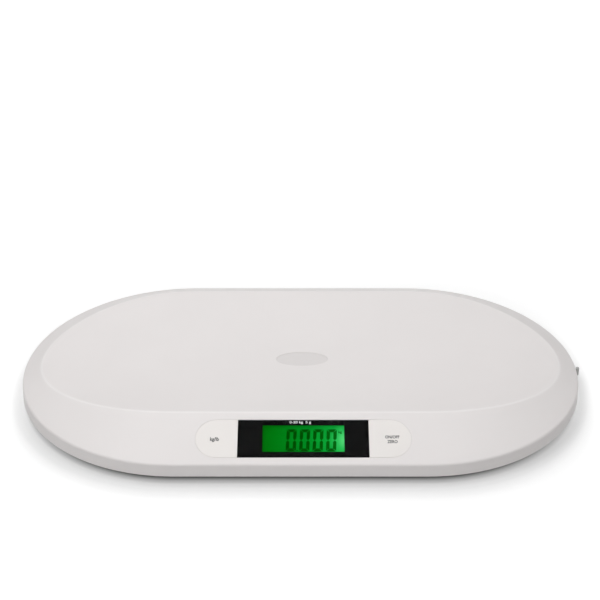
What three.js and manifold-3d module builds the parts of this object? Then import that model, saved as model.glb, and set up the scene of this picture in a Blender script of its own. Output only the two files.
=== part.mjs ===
// Digital baby weighing scale: a long oval platform with a trough for the baby, a sloping
// display panel at the front, four load cells over rubber feet, a battery box and a pull-out
// measuring tape at the right-hand end. Millimetres, +Z up, front toward -Y.

import * as THREE from 'three';
import { mergeVertices } from 'three/addons/utils/BufferGeometryUtils.js';
import Module from 'manifold-3d';

const wasm = await Module();
wasm.setup();

// Fits shared by all pieces
const gap = 0.3;
const skin = 2.6;
const through = 80;

// Outline of the platform: two half circles joined by straight sides
const spine_half = 116;
const end_radius = 164;
const half_length = spine_half + end_radius;
const arc_steps = 36;

// Platform cover
const wall_bottom = 8;
const wall_height = 12;
const edge_z = wall_bottom + wall_height;
const edge_round = 1.6;
const edge_steps = 3;
const rim_slope = 0.488;
const rim_angle = Math.atan(rim_slope);
const rim_reach = 62;
const trough_rise = 11;
const trough_z = edge_z + trough_rise;
const trough_curve = 0.00106;
const trough_side_margin = 39;
const trough_half = end_radius - trough_side_margin;
const trough_steps = 20;
const rib_depth = 5;
const rib_thick = 1.6;
const rib_side_margin = 60;
const rib_half_width = end_radius - rib_side_margin;
const rib_count = 6;
const rib_pitch = 80;
const badge_half_length = 26;
const badge_half_width = 12.5;
const badge_thick = 0.7;
const badge_x = 1.5;

// Base shell
const base_bottom = wall_bottom;
const base_thick = 2.2;
const base_top = base_bottom + base_thick;
const seam = 0.5;
const base_inset = skin + seam;
const base_bevel = 0.4;
const lip_thick = 1.8;
const lip_height = 4.3;
const lip_top = base_top + lip_height;

// Case screws
const screw_from_end = 55;
const screw_x = half_length - screw_from_end;
const screw_y = 55;
const well_radius = 5.5;
const well_height = 2.8;
const well_top = base_top + well_height;
const well_hole_radius = 3.6;
const well_hole_depth = 2.8;
const well_hole_top = base_bottom + well_hole_depth;
const boss_radius = 4.5;
const screw_radius = 1.5;
const screw_length = 14;
const screw_top = well_hole_top + screw_length;
const screw_head_radius = 3;
const screw_head_height = 2;
const screw_drive_depth = 1;
const screw_drive_width = 0.9;
const screw_drive_length = 3.6;

// Feet and load cells
const foot_from_end = 115;
const foot_from_side = 69;
const foot_x = half_length - foot_from_end;
const foot_y = end_radius - foot_from_side;
const pad_radius = 12;
const pad_round = 0.8;
const pad_top = 3;
const cup_radius = 13.5;
const cup_bottom = 1.8;
const cup_flange_radius = 16;
const cup_flange_thick = 1;
const foot_hole_radius = 14.5;
const foot_steps = 24;
const pin_radius = 4;
const pin_height = 1.4;
const cell_half = 15;
const cell_thick = 1.2;
const cell_slot_half = 9.5;
const cell_slot_width = 2;
const cell_tongue_half = 5.2;
const holder_half = 20;
const holder_thick = 2;
const holder_window_half = 11;
const holder_leg = 4.4;

// Battery box
const box_from_foot = 103;
const box_x = box_from_foot - foot_x;
const box_y = 12;
const battery_radius = 5.25;
const battery_length = 44.5;
const battery_pitch = 11.4;
const battery_count = 4;
const battery_tip_radius = 1.9;
const battery_tip_length = 0.8;
const contact_room = 3.2;
const contact_thick = 0.5;
const contact_bump_radius = 2.4;
const contact_tail_width = 3;
const contact_tail_reach = 2.6;
const box_wall = 1.4;
const door_rib_height = 0.6;
const battery_z = base_top + door_rib_height + gap + battery_radius;
const box_room_top = battery_z + battery_radius + gap;
const box_half_length = battery_length / 2 + contact_room;
const box_half_width = battery_pitch * battery_count / 2 + gap;
const door_barrel_radius = 1.4;
const door_pin_radius = 0.7;
const door_pin_length = 1.2;
const door_rib_thick = 1.6;
const door_rib_place = 12;
const door_latch_half = 7;
const door_latch_depth = 1.6;
const door_latch_height = 0.5;
const notch_radius = 8;
const notch_depth = 1.1;

// Display panel: stack of pieces below the sloping front rim
const panel_x = 2.5;
const panel_distance = 28.2;
const panel_half_length = 99;
const panel_half_width = 19.2;
const panel_block_margin = 3.4;
const panel_block_depth = 4.5;
const window_half_length = 60.2;
const window_thick = 1.1;
const mask_thick = 0.5;
const pocket_depth = window_thick + mask_thick + 2 * gap;
const view_half_length = 37.6;
const view_half_width = 13.7;
const view_margin = 0.9;
const view_x = 0.2;
const view_u = -0.45;
const key_gap = 0.4;
const key_flange_out = 1.2;
const key_flange_thick = 1;
const key_travel = 0.8;
const round_steps = 20;
const lcd_half_length = 42;
const lcd_half_width = 16.2;
const lcd_thick = 1.8;
const light_half_width = 13;
const light_u = 2.4;
const strip_u = -13.8;
const strip_half_width = 1.3;
const frame_wall = 1.8;
const frame_depth = 5.8;
const board_half_length = 92;
const board_low_u = -17.2;
const board_high_u = 17;
const board_thick = 1.6;
const post_x = 53;
const post_u = 11;
const post_radius = 3;
const board_screw_radius = 1.1;
const board_screw_head_radius = 2.4;
const board_screw_head_height = 1.4;
const board_screw_reach = 5;
const switch_half = 3;
const plunger_radius = 1.6;
const plunger_height = 0.8;
const chip_half = 7;
const chip_thick = 1.6;
const chip_x = 22;

// Measuring tape
const tape_y = 2;
const tape_thick = 0.6;
const tape_height = 6;
const tape_height_above = 6.4;
const tape_z = wall_bottom + tape_height_above;
const tape_slot_half = 0.9;
const tab_out = 3.4;
const tab_height = 8.6;
const tab_thick = 3.4;
const tab_round = 1;
const tape_grip = 1.4;
const guide_wall = 1.4;
const guide_from_end = 9;
const guide_length = 111;
const guide_to_x = half_length - guide_from_end;
const guide_from_x = guide_to_x - guide_length;
const guide_flange_reach = 7;
const guide_flange_length = 12;
const button_from_end = 32;
const button_x = half_length - button_from_end;
const button_radius = 4;
const button_stand = 0.9;
const button_bottom = base_bottom - button_stand;
const button_flange_radius = 5;
const button_flange_thick = 0.7;
const button_floor = 1;
const button_travel = 0.9;
const button_ring_radius = 6;
const button_ring_cut = 0.5;
const spool_coil_radius = 17;
const spool_flange_radius = 19;
const spool_flange_thick = 0.6;
const spool_bore_radius = 9;
const spool_web_thick = 1.2;
const spool_post_radius = 2.2;
const spool_from_guide = 14;
const spool_x = guide_from_x - spool_from_guide;
const spring_turns = 3;
const spring_strip = 0.4;
const spring_height = 4;
const spring_in_radius = spool_post_radius + 2 * gap;
const spring_out_radius = spool_bore_radius - gap;
const spring_steps = 16;

// Wires
const wire_radius = 0.8;
const wire_lane = 2.2;
const wire_steps = 18;
const wire_sides = 6;
const wire_run_height = 2.8;
const wire_run_z = base_top + wire_run_height;
const wire_bend = 9;
const lead_column_inset = 51;
const lead_front_out = 9;
const lead_back_out = 2;
const lead_column_x = foot_x - lead_column_inset;
const lead_front_y = -foot_y - lead_front_out;
const lead_back_y = -foot_y - lead_back_out;
const lead_front_turn_x = 62;
const lead_back_turn_x = 48;
const lead_front_end_x = 34;
const lead_back_end_x = 24;
const lead_end_u = 6;
const lead_drop = 3;

// Colours
const white = '#e4e0df';
const panel_white = '#e9e6e3';
const base_white = '#dcd9d6';
const black = '#18181a';

function material(color, roughness = 0.5, metalness = 0) {
  return new THREE.MeshStandardMaterial({ color, roughness, metalness });
}

// Closed solids from three.js geometry
function solid(geometry, place) {
  const bare = geometry.clone();
  bare.deleteAttribute('normal');
  bare.deleteAttribute('uv');
  if (place) bare.applyMatrix4(place);
  const merged = mergeVertices(bare);
  const vertProperties = Float32Array.from(merged.attributes.position.array);
  const triVerts = Uint32Array.from(merged.index.array);
  return new wasm.Manifold(new wasm.Mesh({ numProp: 3, vertProperties, triVerts }));
}

function outline(points) {
  return new THREE.Shape(points.map(([x, y]) => new THREE.Vector2(x, y)));
}

function prism(points, low, high, place, holes = []) {
  const shape = outline(points);
  shape.holes = holes.map(outline);
  const geometry = new THREE.ExtrudeGeometry(shape, { depth: high - low, bevelEnabled: false });
  geometry.translate(0, 0, low);
  return solid(geometry, place);
}

function rectangle(x0, x1, y0, y1) {
  return [[x0, y0], [x1, y0], [x1, y1], [x0, y1]];
}

function block(x0, x1, y0, y1, z0, z1, place) {
  return prism(rectangle(x0, x1, y0, y1), z0, z1, place);
}

function circle(x, y, radius, steps) {
  const points = [];
  for (let i = 0; i < steps; i += 1) {
    const turn = 2 * Math.PI * i / steps;
    points.push([x + radius * Math.cos(turn), y + radius * Math.sin(turn)]);
  }
  return points;
}

function disc(x, y, radius, low, high, steps = 24, place = undefined) {
  return prism(circle(x, y, radius, steps), low, high, place);
}

// Turned piece from a profile of [radius, height] that starts and ends on the axis
function turned(profile, x, y, steps = 24) {
  const points = profile.map(([radius, height]) => new THREE.Vector2(radius, height));
  const geometry = new THREE.LatheGeometry(points, steps);
  geometry.rotateX(Math.PI / 2);
  geometry.translate(x, y, 0);
  return solid(geometry);
}

// One ring of the platform outline, moved inward by inset
function ring(inset, z) {
  const points = [];
  const radius = end_radius - inset;
  for (const side of [1, -1]) {
    for (let i = 0; i <= arc_steps; i += 1) {
      const turn = side * Math.PI / 2 * (2 * i / arc_steps - 1) * side + (side < 0 ? Math.PI : 0);
      points.push([side * spine_half + radius * Math.cos(turn), radius * Math.sin(turn), z]);
    }
  }
  return points;
}

// Closed body through rings given as [inset, z] from the bottom up
function lofted(levels) {
  const rings = levels.map(([inset, z]) => ring(inset, z));
  const count = rings[0].length;
  const positions = rings.flat(2);
  const low_centre = rings.length * count;
  const high_centre = low_centre + 1;
  positions.push(0, 0, levels[0][1], 0, 0, levels[levels.length - 1][1]);
  const index = [];
  for (let i = 0; i < count; i += 1) {
    const next = (i + 1) % count;
    for (let level = 0; level + 1 < rings.length; level += 1) {
      const low = level * count;
      const high = low + count;
      index.push(low + i, low + next, high + next, low + i, high + next, high + i);
    }
    const last = (rings.length - 1) * count;
    index.push(low_centre, next, i, high_centre, last + i, last + next);
  }
  const geometry = new THREE.BufferGeometry();
  geometry.setAttribute('position', new THREE.Float32BufferAttribute(positions, 3));
  geometry.setIndex(index);
  return solid(geometry);
}

// Everything below the trough surface, lowered by drop
const along_x = new THREE.Matrix4().makeBasis(
  new THREE.Vector3(0, 1, 0), new THREE.Vector3(0, 0, 1), new THREE.Vector3(1, 0, 0));

function below_trough(drop) {
  const points = [[-end_radius, -through], [end_radius, -through], [end_radius, through]];
  points.push([trough_half, through]);
  for (let i = 0; i <= trough_steps; i += 1) {
    const y = trough_half * (1 - 2 * i / trough_steps);
    points.push([y, trough_z + trough_curve * y * y - drop]);
  }
  points.push([-trough_half, through], [-end_radius, through]);
  return prism(points, -half_length - gap, half_length + gap, along_x);
}

// Outside of the cover: wall, rounded edge and sloping rim, cut by the trough
function outer_body() {
  const levels = [[0, wall_bottom]];
  const centre_z = edge_z + rim_slope * edge_round - edge_round / Math.cos(rim_angle);
  for (let i = 0; i <= edge_steps; i += 1) {
    const turn = Math.PI - (Math.PI / 2 - rim_angle) * i / edge_steps;
    levels.push([edge_round * (1 + Math.cos(turn)), centre_z + edge_round * Math.sin(turn)]);
  }
  levels.push([rim_reach, edge_z + rim_slope * rim_reach]);
  return lofted(levels).intersect(below_trough(0));
}

function inner_body(drop) {
  const rim_drop = (skin + drop) / Math.cos(rim_angle);
  const levels = [[skin, -through], [skin, edge_z + rim_slope * skin - rim_drop]];
  levels.push([rim_reach, edge_z + rim_slope * rim_reach - rim_drop]);
  return lofted(levels).intersect(below_trough(skin + drop));
}

// Panel frame: x along the scale, u up the slope, n out of the surface
const panel = new THREE.Matrix4().makeRotationX(rim_angle).setPosition(
  panel_x,
  -end_radius + panel_distance * Math.cos(rim_angle),
  edge_z + panel_distance * Math.sin(rim_angle));

const window_floor = -pocket_depth;
const block_floor = -panel_block_depth;
const stack_top = block_floor - gap;
const frame_bottom = stack_top - frame_depth;
const board_top = frame_bottom - gap;
const board_bottom = board_top - board_thick;

function stadium(half_length_out, half_width) {
  const points = [];
  for (const side of [1, -1]) {
    for (let i = 0; i <= round_steps; i += 1) {
      const turn = Math.PI * (i / round_steps - 0.5) + (side < 0 ? Math.PI : 0);
      const centre = side * (half_length_out - half_width);
      points.push([centre + half_width * Math.cos(turn), half_width * Math.sin(turn)]);
    }
  }
  return points;
}

// D-shaped outline of a key, flat side toward the window
function key_outline(side, out) {
  const radius = panel_half_width + out;
  const centre = panel_half_length - panel_half_width;
  const flat = window_half_length + key_gap - out;
  const points = [[side * flat, -side * radius]];
  for (let i = 0; i <= round_steps; i += 1) {
    const turn = Math.PI * (i / round_steps - 0.5);
    points.push([side * (centre + radius * Math.cos(turn)), side * radius * Math.sin(turn)]);
  }
  points.push([side * flat, side * radius]);
  return points;
}

const screw_places = [-1, 1].flatMap((i) => [-1, 1].map((j) => [i * screw_x, j * screw_y]));
const post_places = [[-post_x, post_u], [post_x, -post_u]];

function tray_badge_outline(out) {
  const points = circle(0, 0, 1, 36);
  return points.map(([x, y]) => [badge_x + x * (badge_half_length + out), y * (badge_half_width + out)]);
}

function badge_body() {
  const column = prism(tray_badge_outline(0), 0, through);
  return column.intersect(outer_body()).subtract(below_trough(badge_thick));
}

function cover_body() {
  const outer = outer_body();
  let body = outer.subtract(inner_body(0));
  const rib_zone = inner_body(-gap).subtract(inner_body(rib_depth));
  for (let i = 0; i < rib_count; i += 1) {
    const x = rib_pitch * (i - (rib_count - 1) / 2);
    const wall = block(x - rib_thick / 2, x + rib_thick / 2, -rib_half_width, rib_half_width, 0, through);
    body = body.add(wall.intersect(rib_zone));
  }
  for (const [x, y] of screw_places) {
    body = body.add(disc(x, y, boss_radius, well_top + gap, through).intersect(inner_body(-gap)));
  }
  const margin = panel_block_margin;
  const pad_outline = stadium(panel_half_length + margin, panel_half_width + margin);
  body = body.add(prism(pad_outline, block_floor, 0, panel).intersect(outer));
  for (const [x, u] of post_places) {
    body = body.add(disc(x, u, post_radius, board_top + gap, block_floor + gap, 20, panel));
  }
  for (const [x, y] of screw_places) {
    body = body.subtract(disc(x, y, screw_radius + gap, 0, screw_top + gap, 16));
  }
  for (const [x, u] of post_places) {
    const top = board_top + board_screw_reach + gap;
    body = body.subtract(disc(x, u, board_screw_radius + gap, board_bottom, top, 12, panel));
  }
  const pocket = stadium(panel_half_length + gap, panel_half_width + gap);
  body = body.subtract(prism(pocket, window_floor, gap, panel));
  for (const side of [-1, 1]) {
    body = body.subtract(prism(key_outline(side, gap), block_floor - gap, gap, panel));
  }
  const view = rectangle(
    view_x - view_half_length - view_margin, view_x + view_half_length + view_margin,
    view_u - view_half_width - view_margin, view_u + view_half_width + view_margin);
  body = body.subtract(prism(view, block_floor - gap, gap, panel));
  const badge_cut = prism(tray_badge_outline(gap), 0, through);
  body = body.subtract(badge_cut.subtract(below_trough(badge_thick + gap)));
  const slot_low = tape_z - tape_height / 2 - gap;
  const slot_high = tape_z + tape_height / 2 + gap;
  return body.subtract(block(
    guide_to_x, half_length + gap, tape_y - tape_slot_half, tape_y + tape_slot_half, slot_low, slot_high));
}

// Base shell with its lip, screw wells, foot holes, battery box and tape fittings
const foot_places = [-1, 1].flatMap((i) => [-1, 1].map((j) => [i * foot_x, j * foot_y]));
const tub_x0 = box_x - box_half_length;
const tub_x1 = box_x + box_half_length;
const tub_y0 = box_y - box_half_width;
const tub_y1 = box_y + box_half_width;
const hinge_x = tub_x0 + door_barrel_radius + gap;
const hinge_z = base_bottom + door_barrel_radius;
const spool_y = tape_y + spool_coil_radius + tape_thick / 2 + gap;
const spool_bottom = tape_z - tape_height / 2 - gap - spool_flange_thick;
const spool_top = tape_z + tape_height / 2 + gap + spool_flange_thick;

const along_y = new THREE.Matrix4().makeBasis(
  new THREE.Vector3(0, 0, 1), new THREE.Vector3(1, 0, 0), new THREE.Vector3(0, 1, 0));

function rod_along_y(x, z, radius, y0, y1, steps) {
  return prism(circle(z, x, radius, steps), y0, y1, along_y);
}

function rod_along_x(y, z, radius, x0, x1, steps) {
  return prism(circle(y, z, radius, steps), x0, x1, along_x);
}

function base_body() {
  const bevel_z = base_bottom + base_bevel;
  let body = lofted([[base_inset + base_bevel, base_bottom], [base_inset, bevel_z], [base_inset, lip_top]]);
  const lip_inset = base_inset + lip_thick;
  body = body.subtract(lofted([[lip_inset, base_top], [lip_inset, lip_top + gap]]));
  for (const [x, y] of screw_places) {
    body = body.add(disc(x, y, well_radius, base_bottom, well_top));
    body = body.subtract(disc(x, y, well_hole_radius, 0, well_hole_top));
    body = body.subtract(disc(x, y, screw_radius + gap, 0, well_top + gap, 16));
  }
  for (const [x, y] of foot_places) {
    body = body.subtract(disc(x, y, foot_hole_radius, 0, lip_top, 32));
  }
  const tub_top = box_room_top + box_wall;
  body = body.add(block(
    tub_x0 - box_wall, tub_x1 + box_wall, tub_y0 - box_wall, tub_y1 + box_wall, base_bottom, tub_top));
  body = body.subtract(block(tub_x0, tub_x1, tub_y0, tub_y1, 0, box_room_top));
  const pin_reach = door_pin_length + gap;
  body = body.subtract(rod_along_y(
    hinge_x, hinge_z, door_pin_radius + gap, tub_y0 - pin_reach, tub_y1 + pin_reach, 12));
  body = body.subtract(disc(tub_x1, box_y, notch_radius, 0, base_bottom + notch_depth));
  for (const row of tail_rows) {
    const half = contact_tail_width / 2 + gap;
    body = body.subtract(block(
      tub_x1 - contact_thick - 2 * gap, tub_x1 + gap, row - half, row + half, box_room_top - gap, tub_top + gap));
  }
  const ring_top = base_bottom + button_ring_cut;
  const ring_outer = disc(button_x, tape_y, button_ring_radius, 0, ring_top, 32);
  const ring_inner = disc(button_x, tape_y, button_flange_radius + gap, 0, through, 32);
  body = body.subtract(ring_outer.subtract(ring_inner));
  body = body.subtract(disc(button_x, tape_y, button_radius + gap, 0, base_top + gap));
  const seat_z = base_bottom + button_floor;
  body = body.subtract(disc(button_x, tape_y, button_flange_radius + gap, seat_z, base_top + gap));
  body = body.add(disc(spool_x, spool_y, spool_post_radius, base_top - gap, spool_top));
  const lip_slot = block(
    guide_to_x, half_length, tape_y - 2 * tape_slot_half, tape_y + 2 * tape_slot_half, base_top + gap, lip_top + gap);
  return body.subtract(lip_slot);
}

// Screws with a cross slot
function cross_cut(x, y, low, high, place) {
  const long = screw_drive_length / 2;
  const wide = screw_drive_width / 2;
  const first = block(x - long, x + long, y - wide, y + wide, low, high, place);
  return first.add(block(x - wide, x + wide, y - long, y + long, low, high, place));
}

function case_screw(x, y) {
  const head_top = well_hole_top - gap;
  const head_low = head_top - screw_head_height;
  const head = disc(x, y, screw_head_radius, head_low, head_top, 20);
  const shank = disc(x, y, screw_radius, head_top - gap, screw_top, 14);
  return head.add(shank).subtract(cross_cut(x, y, head_low - gap, head_low + screw_drive_depth));
}

function board_screw(x, u) {
  const head_top = board_bottom - gap;
  const head_low = head_top - board_screw_head_height;
  const head = disc(x, u, board_screw_head_radius, head_low, head_top, 16, panel);
  const shank = disc(x, u, board_screw_radius, head_top - gap, board_top + board_screw_reach, 10, panel);
  return head.add(shank);
}

// Foot: rubber pad, plastic cup, load cell plate and its holder
const cup_room_top = pad_top + gap;
const cup_shoulder = base_top + gap;
const cup_top = cup_shoulder + cup_flange_thick;
const cell_low = cup_top + pin_height + gap;
const cell_high = cell_low + cell_thick;

function foot_pad(x, y) {
  const profile = [[0, 0], [pad_radius - pad_round, 0], [pad_radius, pad_round], [pad_radius, pad_top], [0, pad_top]];
  return turned(profile, x, y, foot_steps);
}

function foot_cup(x, y) {
  const profile = [
    [0, cup_room_top], [pad_radius + gap, cup_room_top], [pad_radius + gap, cup_bottom], [cup_radius, cup_bottom],
    [cup_radius, cup_shoulder], [cup_flange_radius, cup_shoulder], [cup_flange_radius, cup_top],
    [pin_radius, cup_top], [pin_radius, cup_top + pin_height], [0, cup_top + pin_height],
  ];
  return turned(profile, x, y, foot_steps);
}

function load_cell(x, y) {
  const plate = block(x - cell_half, x + cell_half, y - cell_half, y + cell_half, cell_low, cell_high);
  const slot_out = cell_slot_half;
  const slot_in = cell_slot_half - cell_slot_width;
  const slot = [
    [x - slot_out, y - slot_out], [x + slot_out, y - slot_out], [x + slot_out, y + slot_out],
    [x + cell_tongue_half, y + slot_out], [x + cell_tongue_half, y + slot_in], [x + slot_in, y + slot_in],
    [x + slot_in, y - slot_in], [x - slot_in, y - slot_in], [x - slot_in, y + slot_in],
    [x - cell_tongue_half, y + slot_in], [x - cell_tongue_half, y + slot_out], [x - slot_out, y + slot_out],
  ];
  return plate.subtract(prism(slot, cell_low - gap, cell_high + gap));
}

function cell_holder(x, y) {
  const low = cell_high + gap;
  const high = low + holder_thick;
  const half = holder_half;
  const room = holder_window_half;
  let body = block(x - half, x + half, y - half, y + half, low, high);
  body = body.subtract(block(x - room, x + room, y - room, y + room, low - gap, high + gap));
  for (const i of [-1, 1]) {
    for (const j of [-1, 1]) {
      const near = holder_half - holder_leg;
      const xs = [x + i * near, x + i * half].sort((a, b) => a - b);
      const ys = [y + j * near, y + j * half].sort((a, b) => a - b);
      body = body.add(block(xs[0], xs[1], ys[0], ys[1], base_top + gap, low + gap));
    }
  }
  return body;
}

// Batteries, contacts and door
const battery_rows = Array.from(
  { length: battery_count }, (_, i) => box_y + battery_pitch * (i - (battery_count - 1) / 2));
const tail_rows = [battery_rows[0], battery_rows[battery_count - 1]];

function battery(i) {
  const y = battery_rows[i];
  const side = i % 2 === 0 ? 1 : -1;
  const half = battery_length / 2;
  const body = rod_along_x(y, battery_z, battery_radius, box_x - half, box_x + half, 24);
  const ends = [box_x + side * (half - gap), box_x + side * (half + battery_tip_length)].sort((a, b) => a - b);
  return body.add(rod_along_x(y, battery_z, battery_tip_radius, ends[0], ends[1], 12));
}

// Contact plate on one end wall, over the rows it joins, with a bump toward each cell
function contact(side, rows, tail) {
  const wall = side > 0 ? tub_x1 - gap : tub_x0 + gap;
  const face = wall - side * contact_thick;
  const xs = [wall, face].sort((a, b) => a - b);
  const half = battery_radius - gap;
  const y0 = Math.min(...rows.map((i) => battery_rows[i])) - half;
  const y1 = Math.max(...rows.map((i) => battery_rows[i])) + half;
  let body = block(xs[0], xs[1], y0, y1, battery_z - half, battery_z + half);
  for (const i of rows) {
    const plus_side = i % 2 === 0 ? 1 : -1;
    const tip = plus_side === side ? battery_tip_length : 0;
    const reach = box_x + side * (battery_length / 2 + tip + gap);
    const ends = [face + side * contact_thick / 2, reach].sort((a, b) => a - b);
    body = body.add(rod_along_x(battery_rows[i], battery_z, contact_bump_radius, ends[0], ends[1], 12));
  }
  if (tail) {
    const row = battery_rows[rows[0]];
    const tail_half = contact_tail_width / 2;
    const tail_top = box_room_top + box_wall + contact_tail_reach;
    body = body.add(block(xs[0], xs[1], row - tail_half, row + tail_half, battery_z, tail_top));
  }
  return body;
}

function battery_door() {
  const y0 = tub_y0 + gap;
  const y1 = tub_y1 - gap;
  let body = block(hinge_x, tub_x1 - gap, y0, y1, base_bottom, base_top);
  body = body.add(rod_along_y(hinge_x, hinge_z, door_barrel_radius, y0, y1, 20));
  const pin_reach = door_pin_length;
  body = body.add(rod_along_y(hinge_x, hinge_z, door_pin_radius, y0 - pin_reach, y1 + pin_reach, 12));
  const rib_top = base_top + door_rib_height;
  for (const place of [-door_rib_place, door_rib_place]) {
    const x = box_x + place;
    const half = door_rib_thick / 2;
    body = body.add(block(x - half, x + half, y0 + gap, y1 - gap, base_top - gap, rib_top));
  }
  const latch_x1 = tub_x1 - gap;
  const latch_y0 = box_y - door_latch_half;
  const latch_y1 = box_y + door_latch_half;
  body = body.add(block(
    latch_x1 - door_latch_depth, latch_x1, latch_y0, latch_y1, base_top - gap, base_top + door_latch_height));
  return body;
}

// Display stack
function lens_plate(top, thick) {
  const half_width = panel_half_width;
  return block(-window_half_length, window_half_length, -half_width, half_width, top - thick, top, panel);
}

function window_mask() {
  const top = -window_thick - gap;
  const low = top - mask_thick;
  const hole = rectangle(
    view_x - view_half_length, view_x + view_half_length, view_u - view_half_width, view_u + view_half_width);
  return lens_plate(top, mask_thick).subtract(prism(hole, low - gap, top + gap, panel));
}

function lcd_frame() {
  const long = lcd_half_length + gap + frame_wall;
  const wide = lcd_half_width + gap + frame_wall;
  const room_long = lcd_half_length + gap;
  const room_wide = lcd_half_width + gap;
  const hole = rectangle(-room_long, room_long, -room_wide, room_wide).reverse();
  return prism(rectangle(-long, long, -wide, wide), frame_bottom, stack_top, panel, [hole]);
}

function key_body(side) {
  const cap = prism(key_outline(side, 0), stack_top - gap, 0, panel);
  const flange_low = stack_top - key_flange_thick;
  return cap.add(prism(key_outline(side, key_flange_out), flange_low, stack_top, panel));
}

function main_board() {
  let body = block(-board_half_length, board_half_length, board_low_u, board_high_u, board_bottom, board_top, panel);
  for (const [x, u] of post_places) {
    body = body.subtract(disc(x, u, board_screw_radius + gap, board_bottom - gap, board_top + gap, 12, panel));
  }
  return body;
}

function key_switch(side) {
  const x = side * (panel_half_length - panel_half_width);
  const low = board_top + gap;
  const plunger_top = stack_top - key_flange_thick - key_travel - gap;
  const top = plunger_top - plunger_height;
  const body = block(x - switch_half, x + switch_half, -switch_half, switch_half, low, top, panel);
  return body.add(disc(x, 0, plunger_radius, top - gap, plunger_top, 12, panel));
}

// Tape pieces
const tape_low = tape_z - tape_height / 2;
const tape_high = tape_z + tape_height / 2;
const tape_out_x = half_length + gap;
const tape_y0 = tape_y - tape_thick / 2;
const tape_y1 = tape_y + tape_thick / 2;

function tape_blade() {
  return block(spool_x, tape_out_x + tape_grip, tape_y0, tape_y1, tape_low, tape_high);
}

function tape_tab() {
  const half = tab_thick / 2;
  const profile = [
    [tape_out_x, tape_y - half], [half_length + tab_out - tab_round, tape_y - half],
    [half_length + tab_out, tape_y - half + tab_round], [half_length + tab_out, tape_y + half - tab_round],
    [half_length + tab_out - tab_round, tape_y + half], [tape_out_x, tape_y + half],
  ];
  const body = prism(profile, tape_z - tab_height / 2, tape_z + tab_height / 2);
  const fit = gap / 6;
  return body.subtract(block(
    tape_out_x - gap, tape_out_x + tape_grip + fit, tape_y0 - fit, tape_y1 + fit, tape_low - fit, tape_high + fit));
}

function tape_guide() {
  const low = base_top + gap;
  const high = tape_high + gap + guide_wall;
  const half = tape_thick / 2 + gap + guide_wall;
  let body = block(guide_from_x, guide_to_x, tape_y - half, tape_y + half, low, high);
  for (const x of [guide_from_x + guide_flange_length, guide_to_x - guide_flange_length]) {
    const reach = guide_flange_reach;
    const long = guide_flange_length / 2;
    body = body.add(block(x - long, x + long, tape_y - reach, tape_y + reach, low, low + guide_wall));
  }
  body = body.subtract(block(
    guide_from_x - gap, guide_to_x + gap, tape_y0 - gap, tape_y1 + gap, 0, tape_high + gap));
  const room_top = base_bottom + button_floor + gap + button_flange_thick + button_travel + gap;
  return body.subtract(disc(button_x, tape_y, button_flange_radius + gap, 0, room_top));
}

function tape_button() {
  const flange_low = base_bottom + button_floor + gap;
  const flange_high = flange_low + button_flange_thick;
  return turned([
    [0, button_bottom], [button_radius - gap, button_bottom], [button_radius, button_bottom + gap],
    [button_radius, flange_low], [button_flange_radius, flange_low], [button_flange_radius, flange_high],
    [0, flange_high],
  ], button_x, tape_y);
}

function tape_spool() {
  const coil_low = spool_bottom + spool_flange_thick;
  const coil_high = spool_top - spool_flange_thick;
  let body = disc(spool_x, spool_y, spool_flange_radius, spool_bottom, spool_top, 36);
  const groove = disc(spool_x, spool_y, through, coil_low, coil_high, 36);
  body = body.subtract(groove.subtract(disc(spool_x, spool_y, spool_coil_radius, 0, through, 36)));
  const room_low = spool_bottom + spool_web_thick;
  body = body.subtract(disc(spool_x, spool_y, spool_bore_radius, room_low, spool_top + gap));
  return body.subtract(disc(spool_x, spool_y, spool_post_radius + gap, 0, through));
}

// Flat spiral spring between the spool and its post
function rewind_spring() {
  const inside = [];
  const outside = [];
  const steps = spring_turns * spring_steps;
  const grow = spring_out_radius - spring_in_radius - spring_strip;
  for (let i = 0; i <= steps; i += 1) {
    const turn = 2 * Math.PI * i / spring_steps;
    const radius = spring_in_radius + grow * i / steps;
    inside.push([spool_x + radius * Math.cos(turn), spool_y + radius * Math.sin(turn)]);
    const far = radius + spring_strip;
    outside.push([spool_x + far * Math.cos(turn), spool_y + far * Math.sin(turn)]);
  }
  const low = spool_bottom + spool_web_thick + gap;
  return prism(outside.concat(inside.reverse()), low, low + spring_height);
}

// Wire along a smooth path
function wire(points) {
  const path = new THREE.CatmullRomCurve3(points.map((p) => new THREE.Vector3(...p)), false, 'centripetal');
  const shape = new THREE.Shape();
  shape.absarc(0, 0, wire_radius, 0, 2 * Math.PI);
  const options = { steps: wire_steps, bevelEnabled: false, extrudePath: path, curveSegments: wire_sides / 2 };
  return solid(new THREE.ExtrudeGeometry(shape, options));
}

function panel_point(x, u, n) {
  const point = new THREE.Vector3(x, u, n).applyMatrix4(panel);
  return [point.x, point.y, point.z];
}

// Lead from the inner side of a load cell holder along the floor, then up behind the board
const lead_end_n = board_bottom - gap;

function lead_rise(end_x) {
  const below = panel_point(end_x, lead_end_u, lead_end_n - lead_drop);
  return [below, panel_point(end_x, lead_end_u, lead_end_n)];
}

function cell_lead(fx, fy) {
  const side = Math.sign(fx);
  const z = wire_run_z;
  const start_x = fx - side * (holder_half + gap + wire_radius);
  const column_x = side * lead_column_x;
  const points = [[start_x, fy, cell_high + gap + holder_thick / 2], [start_x - side * wire_bend, fy, z]];
  if (fy < 0) {
    points.push([column_x, lead_front_y, z], [side * lead_front_turn_x, lead_front_y, z]);
    return wire(points.concat(lead_rise(side * lead_front_end_x)));
  }
  points.push([column_x, fy - 2 * wire_bend, z], [column_x, 0, z], [column_x, lead_back_y + 2 * wire_bend, z]);
  points.push([column_x - side * 2 * wire_bend, lead_back_y, z], [side * lead_back_turn_x, lead_back_y, z]);
  return wire(points.concat(lead_rise(side * lead_back_end_x)));
}

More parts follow.
